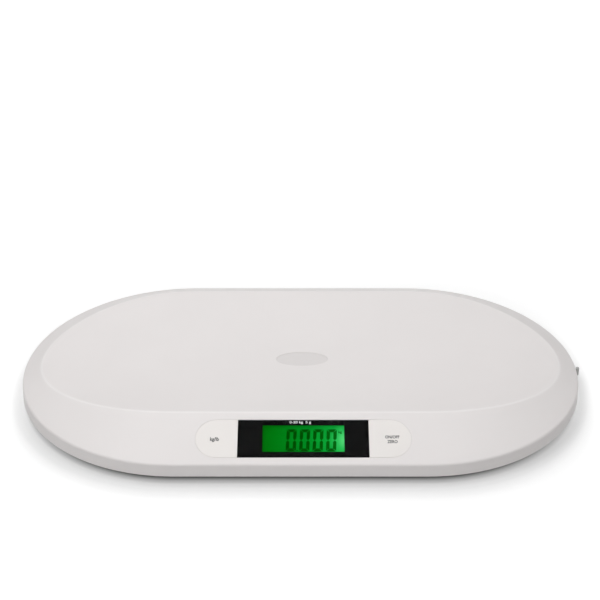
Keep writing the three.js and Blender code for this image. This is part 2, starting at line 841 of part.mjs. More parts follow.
function battery_lead(row, lane) {
  const x = tub_x1 - gap + wire_radius + contact_thick;
  const y = battery_rows[row];
  const z = box_room_top + box_wall + gap + wire_radius;
  const end_x = 2 * lane * wire_lane;
  const points = [[x, y, z], [x + 2 * wire_lane, y, z], [x + (4 + lane) * wire_lane, y - 2 * wire_lane, z - wire_lane]];
  points.push([x + (4 + lane) * wire_lane, -foot_y / 2, wire_run_z]);
  return wire(points.concat(lead_rise(end_x)));
}

// Assembly: the middle of the whole object, tab included, stands over the origin
const scale = new THREE.Group();
scale.name = 'baby_scale';
const centring = new THREE.Matrix4().makeTranslation(-tab_out / 2, 0, 0);

function add(name, body, look) {
  const mesh_data = body.getMesh();
  const geometry = new THREE.BufferGeometry();
  geometry.setAttribute('position', new THREE.Float32BufferAttribute(mesh_data.vertProperties, 3));
  geometry.setIndex(Array.from(mesh_data.triVerts));
  geometry.applyMatrix4(centring);
  geometry.computeVertexNormals();
  const mesh = new THREE.Mesh(geometry, look);
  mesh.name = name;
  scale.add(mesh);
}

add('platform_cover', cover_body(), material(white, 0.35));
add('base_shell', base_body(), material(base_white, 0.5));
add('tray_badge', badge_body(), material('#d2cecd', 0.4));
add('display_window', lens_plate(0, window_thick), material('#303438', 0.05));
add('window_mask', window_mask(), material(black, 0.3));
add('lcd_panel', block(
  -lcd_half_length, lcd_half_length, -lcd_half_width, lcd_half_width, stack_top - lcd_thick, stack_top, panel,
), material('#0f8a2c', 0.2));
add('backlight_plate', block(
  -lcd_half_length, lcd_half_length, light_u - light_half_width, light_u + light_half_width,
  frame_bottom, stack_top - lcd_thick - gap, panel,
), material('#c9f0c4', 0.3));
add('contact_strip', block(
  -lcd_half_length, lcd_half_length, strip_u - strip_half_width, strip_u + strip_half_width,
  frame_bottom, stack_top - lcd_thick - gap, panel,
), material('#d98fa0', 0.7));
add('lcd_frame', lcd_frame(), material('#e8e8e8', 0.5));
add('unit_key', key_body(-1), material(panel_white, 0.4));
add('power_key', key_body(1), material(panel_white, 0.4));
add('main_board', main_board(), material('#1f6b3a', 0.5));
add('unit_switch', key_switch(-1), material('#2a2a2a', 0.4));
add('power_switch', key_switch(1), material('#2a2a2a', 0.4));
add('controller_chip', block(
  chip_x - chip_half, chip_x + chip_half, lead_end_u - 2 * chip_half - gap - wire_lane, lead_end_u - wire_lane - gap,
  board_bottom - gap - chip_thick, board_bottom - gap, panel,
), material('#1b1b1d', 0.4));
post_places.forEach(([x, u], i) => add(`board_screw_${i + 1}`, board_screw(x, u), material('#b9bcc0', 0.3, 0.9)));
screw_places.forEach(([x, y], i) => add(`case_screw_${i + 1}`, case_screw(x, y), material('#b9bcc0', 0.3, 0.9)));

const corner_names = ['left_front', 'left_back', 'right_front', 'right_back'];
foot_places.forEach(([x, y], i) => {
  const corner = corner_names[i];
  add(`foot_pad_${corner}`, foot_pad(x, y), material('#3a3a3c', 0.9));
  add(`foot_cup_${corner}`, foot_cup(x, y), material(base_white, 0.5));
  add(`load_cell_${corner}`, load_cell(x, y), material('#c3c6ca', 0.3, 0.9));
  add(`cell_holder_${corner}`, cell_holder(x, y), material('#f0eeea', 0.5));
  add(`cell_lead_${corner}`, cell_lead(x, y), material(['#b3261e', '#1d1d1f'][i % 2], 0.6));
});

battery_rows.forEach((_, i) => add(`battery_${i + 1}`, battery(i), material('#3d4147', 0.4, 0.3)));
add('battery_contact_plus', contact(1, [0], true), material('#c9ccd0', 0.3, 0.9));
add('battery_contact_minus', contact(1, [3], true), material('#c9ccd0', 0.3, 0.9));
add('battery_contact_middle', contact(1, [1, 2], false), material('#c9ccd0', 0.3, 0.9));
add('battery_contact_front', contact(-1, [0, 1], false), material('#c9ccd0', 0.3, 0.9));
add('battery_contact_back', contact(-1, [2, 3], false), material('#c9ccd0', 0.3, 0.9));
add('battery_lead_red', battery_lead(0, 0), material('#b3261e', 0.6));
add('battery_lead_black', battery_lead(battery_count - 1, 1), material('#1d1d1f', 0.6));
add('battery_door', battery_door(), material(base_white, 0.5));

add('tape_guide', tape_guide(), material('#e8e6e2', 0.5));
add('tape_blade', tape_blade(), material('#f4f3ef', 0.5));
add('tape_tab', tape_tab(), material('#f2f1ee', 0.4));
add('tape_spool', tape_spool(), material('#f2f0ea', 0.5));
add('rewind_spring', rewind_spring(), material('#9fa3a8', 0.3, 0.9));
add('tape_button', tape_button(), material('#f2f1ee', 0.4));

export default scale;
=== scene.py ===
# Digital baby weighing scale: the looks of every piece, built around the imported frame.
# Metres, +Z up, front toward -Y. Angles are in radians unless a name says degrees.

import math

import bmesh
import bpy
import numpy as np
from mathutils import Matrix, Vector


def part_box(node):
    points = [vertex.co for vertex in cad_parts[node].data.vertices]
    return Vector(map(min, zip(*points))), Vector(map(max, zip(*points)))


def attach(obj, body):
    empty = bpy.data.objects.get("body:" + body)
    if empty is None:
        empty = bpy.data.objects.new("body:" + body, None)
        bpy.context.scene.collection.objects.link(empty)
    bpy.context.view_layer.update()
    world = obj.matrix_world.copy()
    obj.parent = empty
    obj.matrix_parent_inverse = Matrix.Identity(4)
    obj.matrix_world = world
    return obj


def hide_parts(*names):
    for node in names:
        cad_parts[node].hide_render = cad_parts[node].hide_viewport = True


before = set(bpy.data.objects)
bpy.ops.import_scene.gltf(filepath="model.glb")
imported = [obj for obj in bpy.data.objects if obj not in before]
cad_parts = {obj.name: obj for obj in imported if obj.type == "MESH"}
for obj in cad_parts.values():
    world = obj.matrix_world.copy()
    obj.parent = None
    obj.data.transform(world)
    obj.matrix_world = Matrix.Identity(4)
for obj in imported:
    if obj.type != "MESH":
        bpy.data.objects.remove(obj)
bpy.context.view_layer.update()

# Camera at the photograph's viewing angle
CAMERA_PLACE = (-0.0022, -1.1090, 0.7392)
CAMERA_TILT_DEGREES = 60.01
CAMERA_LENS = 78
CAMERA_SENSOR = 36

# Fits and finishing sizes shared by all pieces
GAP = 0.0003
SKIN = 0.0026
WELD = 0.000001
SHARP_DEGREES = 28
PRINT_THICK = 0.00004
GUARD = 0.0004
STEPS_IN_ROUND = 6
TURN_STEPS = 72
FINE_TURN_STEPS = 96

# Rounds of the edges of small turned pieces
CRISP_ROUND = 0.0002
FINE_ROUND = 0.0003
SOFT_ROUND = 0.0004
BROAD_ROUND = 0.0006

# Nodes of the frame that come in sets
CORNERS = ["left_front", "left_back", "right_front", "right_back"]
CASE_SCREWS = [f"case_screw_{number}" for number in range(1, 5)]

# Outline of the platform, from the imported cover
COVER_LOW, COVER_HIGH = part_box("platform_cover")
CENTRE_X = (COVER_LOW.x + COVER_HIGH.x) / 2
END_RADIUS = (COVER_HIGH.y - COVER_LOW.y) / 2
SPINE_HALF = (COVER_HIGH.x - COVER_LOW.x) / 2 - END_RADIUS
ARC_STEPS = 168
SIDE_STEPS = 76

# Steps along each stretch of the sections of cover, rib, base, notch and badge
FOOT_STEPS = 3
WALL_STEPS = 4
EDGE_STEPS = 9
RIM_STEPS = 21
RIDGE_STEPS = 12
TROUGH_STEPS = 25
CEILING_STEPS = 11
SLOPE_STEPS = 6
INNER_WALL_STEPS = 3
RIB_STEPS = 79
BASE_STEPS = 4
NOTCH_STEPS = 11
BADGE_TURN_STEPS = 120
BADGE_TOP_STEPS = 13
BADGE_UNDER_STEPS = 7

# Platform cover
WALL_BOTTOM = COVER_LOW.z
WALL_HEIGHT = 0.012
WALL_LEAN = 0.06
EDGE_Z = WALL_BOTTOM + WALL_HEIGHT
EDGE_ROUND = 0.003
FOOT_ROUND = 0.0004
RIM_SLOPE = 0.488
RIM_ANGLE = math.atan(RIM_SLOPE)
TROUGH_Z = EDGE_Z + 0.0095
TROUGH_CURVE = 1.175
RIDGE_BLEND = 0.0012
RIDGE_REACH = RIDGE_BLEND / RIM_SLOPE
RIB_COUNT = 6
RIB_PITCH = 0.080
RIB_THICK = 0.0016
RIB_DEPTH = 0.005
RIB_HALF_WIDTH = 0.104
BOSS_RADIUS = 0.0045
BOSS_SINK = 0.0012
SCREW_RADIUS = 0.0015

# Oval badge in the trough
BADGE_X = 0.0015
BADGE_Y = 0.0012
BADGE_HALF_LENGTH = 0.026
BADGE_HALF_WIDTH = 0.0125
BADGE_THICK = 0.0007
BADGE_FIT = 0.00012
BADGE_ROUND = 0.00025

# Display panel on the front slope: X runs along it, U up its slope, and heights go square out of it
PANEL_X = 0.0025
PANEL_DISTANCE = 0.0282
PANEL_HALF_LENGTH = 0.099
PANEL_HALF_WIDTH = 0.0192
PANEL_BLOCK_MARGIN = 0.0034
PANEL_BLOCK_DEPTH = 0.0045
PANEL_BLOCK_TOP = 0.0006
PANEL_FIT = 0.00025
POCKET_DEPTH = 0.0022
POCKET_CHAMFER = 0.0002
WINDOW_HALF_LENGTH = 0.0602
WINDOW_THICK = 0.0011
WINDOW_CORNER = 0.0008
MASK_TOP = -0.0014
VIEW_HALF_LENGTH = 0.0376
VIEW_HALF_WIDTH = 0.0137
VIEW_MARGIN = 0.0022
VIEW_X = 0.0002
VIEW_U = 0.0007
VIEW_CORNER = 0.0002
MASK_THICK = 0.0005
KEY_GAP = 0.0004
KEY_FLANGE_OUT = 0.0012
KEY_FLANGE_THICK = 0.001
KEY_ROUND = 0.0003
LCD_TOP = -0.0048
LCD_THICK = 0.0018
LCD_HALF_LENGTH = 0.042
LCD_HALF_WIDTH = 0.0162
LCD_CHAMFER = 0.0003
POST_X = 0.053
POST_U = 0.011
POST_PLACES = ((-POST_X, POST_U), (POST_X, -POST_U))
POST_RADIUS = 0.003
POST_BOTTOM = -0.0106
BOARD_SCREW_RADIUS = 0.0011
BOARD_SCREW_TOP = -0.0059

# Figures on the display, on the plane of the glass
DIGIT_COUNT = 4
DIGIT_FIRST_X = -0.0158
DIGIT_PITCH = 0.01235
DIGIT_WIDTH = 0.0094
DIGIT_LOW_U = -0.0109
DIGIT_HEIGHT = 0.0229
DIGIT_LEAN = 0.045
SEGMENT_WIDTH = 0.0031
SEGMENT_SPACE = 0.00005
SEGMENT_CORNER = 0.0006
POINT_X = -0.0052
POINT_U = -0.0101
POINT_HALF = 0.0007
MARK_X = 0.0341
MARK_U = 0.0093
MARK_HEIGHT = 0.0026

# Legends on the window and the keys
RANGE_X = -0.0028
RANGE_U = 0.0178
RANGE_HEIGHT = 0.0027
UNIT_LEGEND_HEIGHT = 0.0038
POWER_LEGEND_HEIGHT = 0.0031
LETTER_WEIGHT = 0.03
LETTER_STEPS = 4
RANGE_LETTER_WIDTH = 1.15
KEY_LETTER_WIDTH = 0.86
UNIT_LEGEND_X = -0.0815
UNIT_LEGEND_U = -0.0005
POWER_LEGEND_X = 0.0818
POWER_LEGEND_U = 0.0017
ZERO_LEGEND_U = -0.0031

# Base shell
BASE_INSET = 0.0031
BASE_THICK = 0.0022
BASE_TOP = WALL_BOTTOM + BASE_THICK
BASE_ROUND = 0.0005
LIP_THICK = 0.0018
LIP_TOP = BASE_TOP + 0.0043
WELL_RADIUS = 0.0055
WELL_TOP = BASE_TOP + 0.0028
WELL_HOLE_RADIUS = 0.0036
WELL_HOLE_TOP = WALL_BOTTOM + 0.0028
FOOT_HOLE_RADIUS = 0.0145
BOX_WALL = 0.0014
DOOR_PIN_RADIUS = 0.0007
DOOR_PIN_LENGTH = 0.0012
DOOR_BARREL_RADIUS = 0.0014
DOOR_ROUND = 0.0003
DOOR_CORNER = 0.0012
DOOR_RIB_THICK = 0.0016
DOOR_RIB_PLACE = 0.012
DOOR_LATCH_HALF = 0.007
DOOR_LATCH_DEPTH = 0.0016
DOOR_LATCH_DROP = GAP / 3
GRIP_COUNT = 6
GRIP_PITCH = 0.0018
GRIP_HALF_WIDTH = 0.0004
GRIP_CORNER_SHARE = 0.9
GRIP_HALF_LENGTH = 0.007
GRIP_HEIGHT = 0.00035
GRIP_FROM_EDGE = 0.0025
NOTCH_RADIUS = 0.008
NOTCH_DEPTH = 0.0012
BUTTON_HOLE_RADIUS = 0.0043
BUTTON_DISH_RADIUS = 0.006
BUTTON_DISH_DEPTH = 0.0005
BUTTON_DISH_FLOOR_RADIUS = 0.0051
BUTTON_ROOM_LOW = 0.001
BUTTON_ROOM_MARGIN = 0.001
TAIL_SLOT_HALF = 6 * GAP
TAIL_SLOT_DEPTH = 4 * GAP
SPOOL_POST_RADIUS = 0.0022
LIP_SLOT_HALF = 0.0018

# Measuring tape
TAPE_SLOT_HALF = 0.0009
TAPE_SLOT_DEPTH = 4 * SKIN
TAB_FIT = GAP / 6
TICK_COUNT = 118
TICK_PITCH = 0.001
TICK_WIDTH = 0.00016
TICK_SHORT = 0.0014
TICK_MIDDLE = 0.0021
TICK_LONG = 0.0027
TICK_FROM_TAB = 0.0016
TICKS_PER_FIGURE = 10
FIGURE_COUNT = 12
FIGURE_HEIGHT = 0.0019
FIGURE_DROP = 0.0041
TAB_ROUND = 0.0009

# Feet, screws and button
PAD_ROUND = 0.0009
GROOVE_SHARES = (0.35, 0.65)
GROOVE_HALF_WIDTH = 0.0006
GROOVE_DEPTH = 0.0004
CUP_RADIUS = 0.0135
CUP_FLANGE_THICK = 0.001
CUP_PIN_RADIUS = 0.004
HEAD_HEIGHT = 0.002
HEAD_FLAT_SHARE = 0.8
HEAD_EDGE = 0.0009
SHANK_TIP = 0.0015
SHANK_ROUND = 0.0005
SCREW_TURN_STEPS = 48
CROSS_REACH = 0.0018
CROSS_HALF_WIDTH = 0.00045
CROSS_DEPTH = 0.001
BUTTON_RADIUS = 0.004
BUTTON_FLANGE_THICK = 0.0007
FINGER_SHARES = (0.55, 0.8)
FINGER_DEPTH = 0.0003
FINGER_SLOPE_DEPTH = 0.0001
FINGER_ROUND = 0.002

# Battery cells
CELL_TURN_STEPS = 64
TIP_RADIUS = 0.0019
TIP_LENGTH = 0.0008
FLAT_END_STEP = 0.0004
TIP_END_STEP = 0.0003
FLAT_SHARE = 0.8
SLEEVE_SHARE = 0.86
SHOULDER_SHARE = 0.72


# Mesh making

def ring_quads(rings, count):
    """Quads between neighbouring rings of a grid whose rings close on themselves."""
    row, column = np.meshgrid(np.arange(rings - 1), np.arange(count), indexing="ij")
    after = (column + 1) % count
    low = row * count
    high = low + count
    return np.stack([low + column, low + after, high + after, high + column], axis=-1).reshape(-1, 4)


def new_piece(name, points, faces):
    """A mesh object, its doubles merged and its faces turned outwards."""
    mesh = bpy.data.meshes.new(name)
    mesh.from_pydata(np.reshape(points, (-1, 3)).tolist(), [], faces)
    shape = bmesh.new()
    shape.from_mesh(mesh)
    bmesh.ops.remove_doubles(shape, verts=shape.verts, dist=WELD)
    bmesh.ops.recalc_face_normals(shape, faces=shape.faces)
    shape.to_mesh(mesh)
    shape.free()
    piece = bpy.data.objects.new(name, mesh)
    bpy.context.scene.collection.objects.link(piece)
    return piece


def wrapped(name, rings):
    """A body through rings of points, whose ends need no face: they shrink to a point or a line, or meet."""
    levels, count, _ = rings.shape
    return new_piece(name, rings, ring_quads(levels, count).tolist())


def stack(name, rings):
    """A closed body through rings of points, one after the other, with flat faces on the first and last."""
    levels, count, _ = rings.shape
    faces = ring_quads(levels, count).tolist()
    faces.append(list(range(count)))
    faces.append(list(range((levels - 1) * count, levels * count)))
    return new_piece(name, rings, faces)


def turned(name, profile, centre, steps=TURN_STEPS, along=(0, 1, 2)):
    """A profile of (radius, height) turned once round an upright axis; along reorders x, y and z."""
    radius, height = np.array(profile).T
    turn = np.linspace(0, 2 * math.pi, steps, endpoint=False)
    x = radius[:, None] * np.cos(turn)
    y = radius[:, None] * np.sin(turn)
    z = np.broadcast_to(height[:, None], x.shape)
    return wrapped(name, np.stack([x, y, z], axis=-1)[..., list(along)] + np.array(centre))


def boxes(name, lows, highs):
    """Straight blocks between pairs of corners, all in one mesh."""
    lows, highs = np.atleast_2d(lows), np.atleast_2d(highs)
    corner = np.array([[i, j, k] for k in (0, 1) for j in (0, 1) for i in (0, 1)])
    points = lows[:, None, :] + corner * (highs - lows)[:, None, :]
    sides = np.array([[0, 2, 3, 1], [4, 5, 7, 6], [0, 1, 5, 4], [2, 6, 7, 3], [0, 4, 6, 2], [1, 3, 7, 5]])
    faces = (sides + 8 * np.arange(len(lows))[:, None, None]).reshape(-1, 4)
    return new_piece(name, points, faces.tolist())


def bake(piece):
    """The piece's modifiers become its mesh."""
    seen = piece.evaluated_get(bpy.context.evaluated_depsgraph_get())
    mesh = bpy.data.meshes.new_from_object(seen)
    piece.modifiers.clear()
    spare = piece.data
    piece.data = mesh
    bpy.data.meshes.remove(spare)


def drop(piece):
    """Takes a piece and its mesh out of the file."""
    mesh = piece.data
    bpy.data.objects.remove(piece)
    bpy.data.meshes.remove(mesh)


def combine(piece, operation, *others):
    """Adds the other bodies to the piece or cuts them out of it, one by one."""
    for other in others:
        change = piece.modifiers.new("combine", "BOOLEAN")
        change.operation = operation
        change.solver = "MANIFOLD"
        change.object = other
        bpy.context.view_layer.update()
        bake(piece)
        drop(other)
    return piece


def join(piece, *others):
    """Adds the other bodies to the piece."""
    return combine(piece, "UNION", *others)


def cut(piece, *others):
    """Takes the other bodies out of the piece."""
    return combine(piece, "DIFFERENCE", *others)


def soften(piece, degrees=SHARP_DEGREES):
    """Smooth shading, kept sharp where neighbouring faces turn by more than the angle.

    Large faces lead the shading of the points that they share with small ones, so flats stay flat."""
    piece.data.shade_smooth()
    piece.data.set_sharp_from_angle(angle=math.radians(degrees))
    lead = piece.modifiers.new("lead", "WEIGHTED_NORMAL")
    lead.keep_sharp = True
    bpy.context.view_layer.update()
    bake(piece)
    return piece


# Places read from the frame

def middle_of(node):
    """Middle of a CAD node's box along X and Y."""
    low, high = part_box(node)
    return (low.x + high.x) / 2, (low.y + high.y) / 2


def screw_centres():
    """Each case screw's middle along X and Y and the height of its end."""
    return [(*middle_of(node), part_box(node)[1].z) for node in CASE_SCREWS]


def tape_line():
    """Tape's middle along Y and its lowest and highest edge."""
    low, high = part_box("tape_blade")
    return (low.y + high.y) / 2, low.z, high.z


def battery_room():
    """Inside of the battery box: its lowest and highest corner."""
    door_low, door_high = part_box("battery_door")
    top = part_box("battery_1")[1].z + GAP
    reach = DOOR_PIN_LENGTH - GAP
    low = np.array([door_low.x - GAP, door_low.y + reach, 0])
    high = np.array([door_high.x + GAP, door_high.y - reach, top])
    return low, high


def door_axis():
    """X and Z of the line that the battery door turns about, one barrel radius in from its corner."""
    return battery_room()[0][0] + GAP + DOOR_BARREL_RADIUS, WALL_BOTTOM + DOOR_BARREL_RADIUS


# Outlines: each is a function of how far out it lies, with as many points whatever the distance

def oval(half_length, half_width, steps=TURN_STEPS):
    """Ellipse by its two half axes."""
    turn = np.linspace(0, 2 * math.pi, steps, endpoint=False)

    def outline(out):
        return np.stack([(half_length + out) * np.cos(turn), (half_width + out) * np.sin(turn)], axis=-1)
    return outline


def circle(radius, steps=TURN_STEPS):
    """Ellipse whose two half axes are one radius."""
    return oval(radius, radius, steps)


def stadium(half_length, half_width, steps=48):
    """Two half circles joined by straight sides."""
    turn = np.linspace(-math.pi / 2, math.pi / 2, steps + 1)
    turn = np.concatenate([turn, turn + math.pi])
    side = np.repeat([1, -1], steps + 1) * (half_length - half_width)

    def outline(out):
        radius = half_width + out
        return np.stack([side + radius * np.cos(turn), radius * np.sin(turn)], axis=-1)
    return outline


def rounded_box(half_length, half_width, corner, steps=STEPS_IN_ROUND):
    """Rectangle with a quarter circle at each corner, which keeps its centre as the outline grows."""
    turn = np.concatenate([np.linspace(start, start + 1, steps + 1) for start in range(4)]) * math.pi / 2
    side_x = np.repeat([1, -1, -1, 1], steps + 1) * (half_length - corner)
    side_y = np.repeat([1, 1, -1, -1], steps + 1) * (half_width - corner)

    def outline(out):
        radius = corner + out
        return np.stack([side_x + radius * np.cos(turn), side_y + radius * np.sin(turn)], axis=-1)
    return outline


def key_outline(side, steps=48, corner_steps=4):
    """Half a stadium whose flat side, with two small round corners, faces the window."""
    turn = np.linspace(-math.pi / 2, math.pi / 2, steps + 1)
    centre = PANEL_HALF_LENGTH - PANEL_HALF_WIDTH
    flat = WINDOW_HALF_LENGTH + KEY_GAP
    corner = WINDOW_CORNER
    quarter = np.linspace(0, math.pi / 2, corner_steps + 1)

    def outline(out):
        radius = PANEL_HALF_WIDTH + out
        round_end = np.stack([centre + radius * np.cos(turn), radius * np.sin(turn)], axis=-1)
        near = corner + out
        high = np.stack([flat + corner - near * np.sin(quarter),
                         radius - near + near * np.cos(quarter)], axis=-1)
        low = high[::-1] * np.array([1, -1])
        points = np.concatenate([round_end, high, low])
        return points * np.array([side, 1])
    return outline


def levelled(outline, levels):
    """Rings of an outline at levels of (how far out, height)."""
    return np.stack([
        np.concatenate([points, np.full((len(points), 1), height)], axis=1)
        for points, height in ((outline(out), height) for out, height in levels)])


def quarter_round(radius, steps=STEPS_IN_ROUND):
    """Quarter circle between a face and a side, as (in from the side, away from the face), face first."""
    turn = np.linspace(0, math.pi / 2, steps + 1)
    return list(zip(radius * (1 - np.sin(turn)), radius * (1 - np.cos(turn))))


def rounded_levels(low, high, low_round, high_round):
    """Levels up the side of a plate whose two edges are rounded by quarter circles.

    A guard level just inside each rounded edge keeps the flat face's shading flat."""
    levels = []
    if low_round:
        levels.append((-low_round - GUARD, low))
        levels += [(-inward, low + rise) for inward, rise in quarter_round(low_round)]
    else:
        levels.append((0, low))
    if high_round:
        levels += [(-inward, high - sink) for inward, sink in reversed(quarter_round(high_round))]
        levels.append((-high_round - GUARD, high))
    else:
        levels.append((0, high))
    return levels


def even_steps(start, end, steps):
    """Even steps from start, which is left out, to end."""
    return [start + (end - start) * share for share in np.linspace(0, 1, steps + 1)[1:]]


def upright(x=0.0, y=0.0):
    """Places points given about an upright axis at x, y."""
    def place(points):
        return points + np.array([x, y, 0.0])
    return place


PANEL_ORIGIN = np.array([
    CENTRE_X + PANEL_X,
    -END_RADIUS + PANEL_DISTANCE * math.cos(RIM_ANGLE),
    EDGE_Z + PANEL_DISTANCE * math.sin(RIM_ANGLE)])


def in_panel(x=0.0, u=0.0):
    """Places points given along the panel, up its slope and out of it, about a point of the panel."""
    def place(points):
        along, up, out = points[..., 0] + x, points[..., 1] + u, points[..., 2]
        back = up * math.cos(RIM_ANGLE) - out * math.sin(RIM_ANGLE)
        rise = up * math.sin(RIM_ANGLE) + out * math.cos(RIM_ANGLE)
        return np.stack([along, back, rise], axis=-1) + PANEL_ORIGIN
    return place


def on_panel(height):
    """Places flat print on the panel, at a height out of it."""
    def place(points):
        return in_panel()(points + np.array([0, 0, height]))
    return place


def plate(name, outline, levels, place):
    """Body through an outline's rings at its levels, with flat faces, put in its place."""
    return stack(name, place(levelled(outline, levels)))


def peg(name, radius, low, high, place, steps=48):
    """Straight round body between two heights."""
    return plate(name, circle(radius, steps), [(0, low), (0, high)], place)


def fillet(corners, steps=STEPS_IN_ROUND):
    """Line through corners of (x, y, radius), each turned corner rounded by an arc of its radius."""
    points = [corners[0][:2]]
    for before, here, after in zip(corners, corners[1:], corners[2:]):
        corner, radius = np.array(here[:2]), here[2]
        if not radius:
            points.append(here[:2])
            continue
        to_before = np.array(before[:2]) - corner
        to_after = np.array(after[:2]) - corner
        to_before /= np.linalg.norm(to_before)
        to_after /= np.linalg.norm(to_after)
        half = math.acos(np.clip(to_before @ to_after, -1, 1)) / 2
        middle = to_before + to_after
        centre = corner + middle / np.linalg.norm(middle) * radius / math.sin(half)
        start = corner + to_before * radius / math.tan(half) - centre
        end = corner + to_after * radius / math.tan(half) - centre
        first = math.atan2(start[1], start[0])
        sweep = (math.atan2(end[1], end[0]) - first + math.pi) % (2 * math.pi) - math.pi
        turn = first + sweep * np.linspace(0, 1, steps + 1)
        points += np.stack([centre[0] + radius * np.cos(turn), centre[1] + radius * np.sin(turn)], 1).tolist()
    points.append(corners[-1][:2])
    return points


# Print: flat letters and marks a few hundredths of a millimetre thick

def letter_mesh(text):
    """Points and faces of one line of letters of the font's own size, PRINT_THICK thick."""
    curve = bpy.data.curves.new("letters", "FONT")
    curve.body = text
    curve.extrude = PRINT_THICK / 2
    curve.offset = LETTER_WEIGHT
    curve.resolution_u = LETTER_STEPS
    line = bpy.data.objects.new("letters", curve)
    bpy.context.scene.collection.objects.link(line)
    bpy.context.view_layer.update()
    mesh = bpy.data.meshes.new_from_object(line.evaluated_get(bpy.context.evaluated_depsgraph_get()))
    points = np.zeros(len(mesh.vertices) * 3)
    mesh.vertices.foreach_get("co", points)
    points = points.reshape(-1, 3)
    faces = [list(face.vertices) for face in mesh.polygons]
    bpy.data.objects.remove(line)
    bpy.data.curves.remove(curve)
    bpy.data.meshes.remove(mesh)
    return points, faces


CAPITAL_HEIGHT = np.ptp(letter_mesh("H")[0][:, 1])


def letters(text, height, width=1.0):
    """Points and faces of one line of letters centred on the middle of its capitals, which are height tall.

    A width below 1 makes them narrow."""
    points, faces = letter_mesh(text)
    middle = np.array([(points[:, 0].min() + points[:, 0].max()) / 2, CAPITAL_HEIGHT / 2])
    flat = (points[:, :2] - middle) * height / CAPITAL_HEIGHT * np.array([width, 1])
    return np.concatenate([flat, points[:, 2:]], axis=1), faces


def print_piece(name, lines, place, marks=(), width=1.0):
    """Lines of letters, given as (text, height, x, y), and outlines given as points, in one mesh."""
    points, faces, count = [], [], 0
    for text, height, x, y in lines:
        line_points, line_faces = letters(text, height, width)
        points.append(line_points + np.array([x, y, PRINT_THICK / 2]))
        faces += [[corner + count for corner in face] for face in line_faces]
        count += len(line_points)
    for outline in marks:
        size = len(outline)
        for height in (0, PRINT_THICK):
            points.append(np.concatenate([outline, np.full((size, 1), height)], axis=1))
        faces += (ring_quads(2, size) + count).tolist()
        faces += [[count + i for i in range(size)], [count + size + i for i in range(size)]]
        count += 2 * size
    return new_piece(name, place(np.concatenate(points)), faces)


# Materials

def colour(red, green, blue):
    """A display colour of 0 to 255 as the linear colour that a shader takes."""
    share = np.array([red, green, blue]) / 255
    return tuple(np.where(share <= 0.04045, share / 12.92, ((share + 0.055) / 1.055) ** 2.4)) + (1.0,)


# Ends of the middle range of a noise pattern, where most of it lies
CLOUD_LOW = 0.3
CLOUD_HIGH = 0.7
ROUGH_SPREAD = 0.03


class Finish:
    """A principled material with short calls for the patterns that drive it."""

    def __init__(self, name):
        self.material = bpy.data.materials.new(name)
        self.material.use_nodes = True
        self.tree = self.material.node_tree
        self.shader = self.tree.nodes["Principled BSDF"]
        self.place = self.step("ShaderNodeTexCoord", "Object", {})

    def feed(self, value, socket):
        """Gives a socket an output to follow or a plain value."""
        if isinstance(value, bpy.types.NodeSocket):
            self.tree.links.new(value, socket)
        else:
            socket.default_value = value

    def step(self, kind, output, inputs, **settings):
        """Adds a node with its settings and its inputs, each a value or an output, and gives its output."""
        node = self.tree.nodes.new(kind)
        for name, value in settings.items():
            setattr(node, name, value)
        for socket, value in inputs.items():
            self.feed(value, node.inputs[socket])
        return node.outputs[output]

    def set(self, **values):
        """Feeds the shader's sockets, named with underscores for blanks."""
        for name, value in values.items():
            self.feed(value, self.shader.inputs[name.replace("_", " ")])
        return self

    def noise(self, size, detail=3.0, stretch=(1, 1, 1)):
        """Cloudy pattern whose patches are about size metres across."""
        mapped = self.step("ShaderNodeMapping", "Vector", {"Scale": stretch, "Vector": self.place})
        return self.step("ShaderNodeTexNoise", "Fac", {"Scale": 1 / size, "Detail": detail, "Vector": mapped})

    def between(self, pattern, low, high, from_low=CLOUD_LOW, from_high=CLOUD_HIGH):
        """The pattern's values stretched to run from low to high."""
        return self.step("ShaderNodeMapRange", "Result", {
            "Value": pattern, "From Min": from_low, "From Max": from_high, "To Min": low, "To Max": high})

    def ramp(self, pattern, stops):
        """Colours at places from 0 to 1 along the pattern."""
        ramp = self.tree.nodes.new("ShaderNodeValToRGB")
        elements = ramp.color_ramp.elements
        while len(elements) < len(stops):
            elements.new(0.5)
        for element, (position, stop_colour) in zip(elements, stops):
            element.position = position
            element.color = stop_colour
        self.feed(pattern, ramp.inputs["Fac"])
        return ramp.outputs["Color"]

    def clouded(self, pattern, low_tone, high_tone, low_rough, high_rough):
        """Colour and roughness that follow the pattern between two values each."""
        tone = self.ramp(pattern, [(CLOUD_LOW, low_tone), (CLOUD_HIGH, high_tone)])
        return self.set(Base_Color=tone, Roughness=self.between(pattern, low_rough, high_rough))

    def bump(self, pattern, depth):
        """Relief of the pattern, depth metres high."""
        relief = {"Strength": 1.0, "Distance": depth, "Height": pattern}
        return self.set(Normal=self.step("ShaderNodeBump", "Normal", relief))

    def mix(self, share, first, second, blend="MIX"):
        """Two colours mixed by a share, or the first multiplied by the second to that share."""
        return self.step("ShaderNodeMix", "Result", {"Factor": share, "A": first, "B": second},
                         data_type="RGBA", blend_type=blend)

    def vector(self, operation, first, second=(0, 0, 0)):
        """Vector arithmetic on an output and, where it takes two, a plain vector."""
        output = "Value" if operation in ("LENGTH", "DOT_PRODUCT") else "Vector"
        return self.step("ShaderNodeVectorMath", output, {0: first, 1: second}, operation=operation)

    def number(self, operation, first, second):
        """Arithmetic on two numbers, each an output or a plain value."""
        return self.step("ShaderNodeMath", "Value", {0: first, 1: second}, operation=operation)


def shaded(tone, share):
    """The tone with each channel times share."""
    return tuple(channel * share for channel in tone[:3]) + (1.0,)


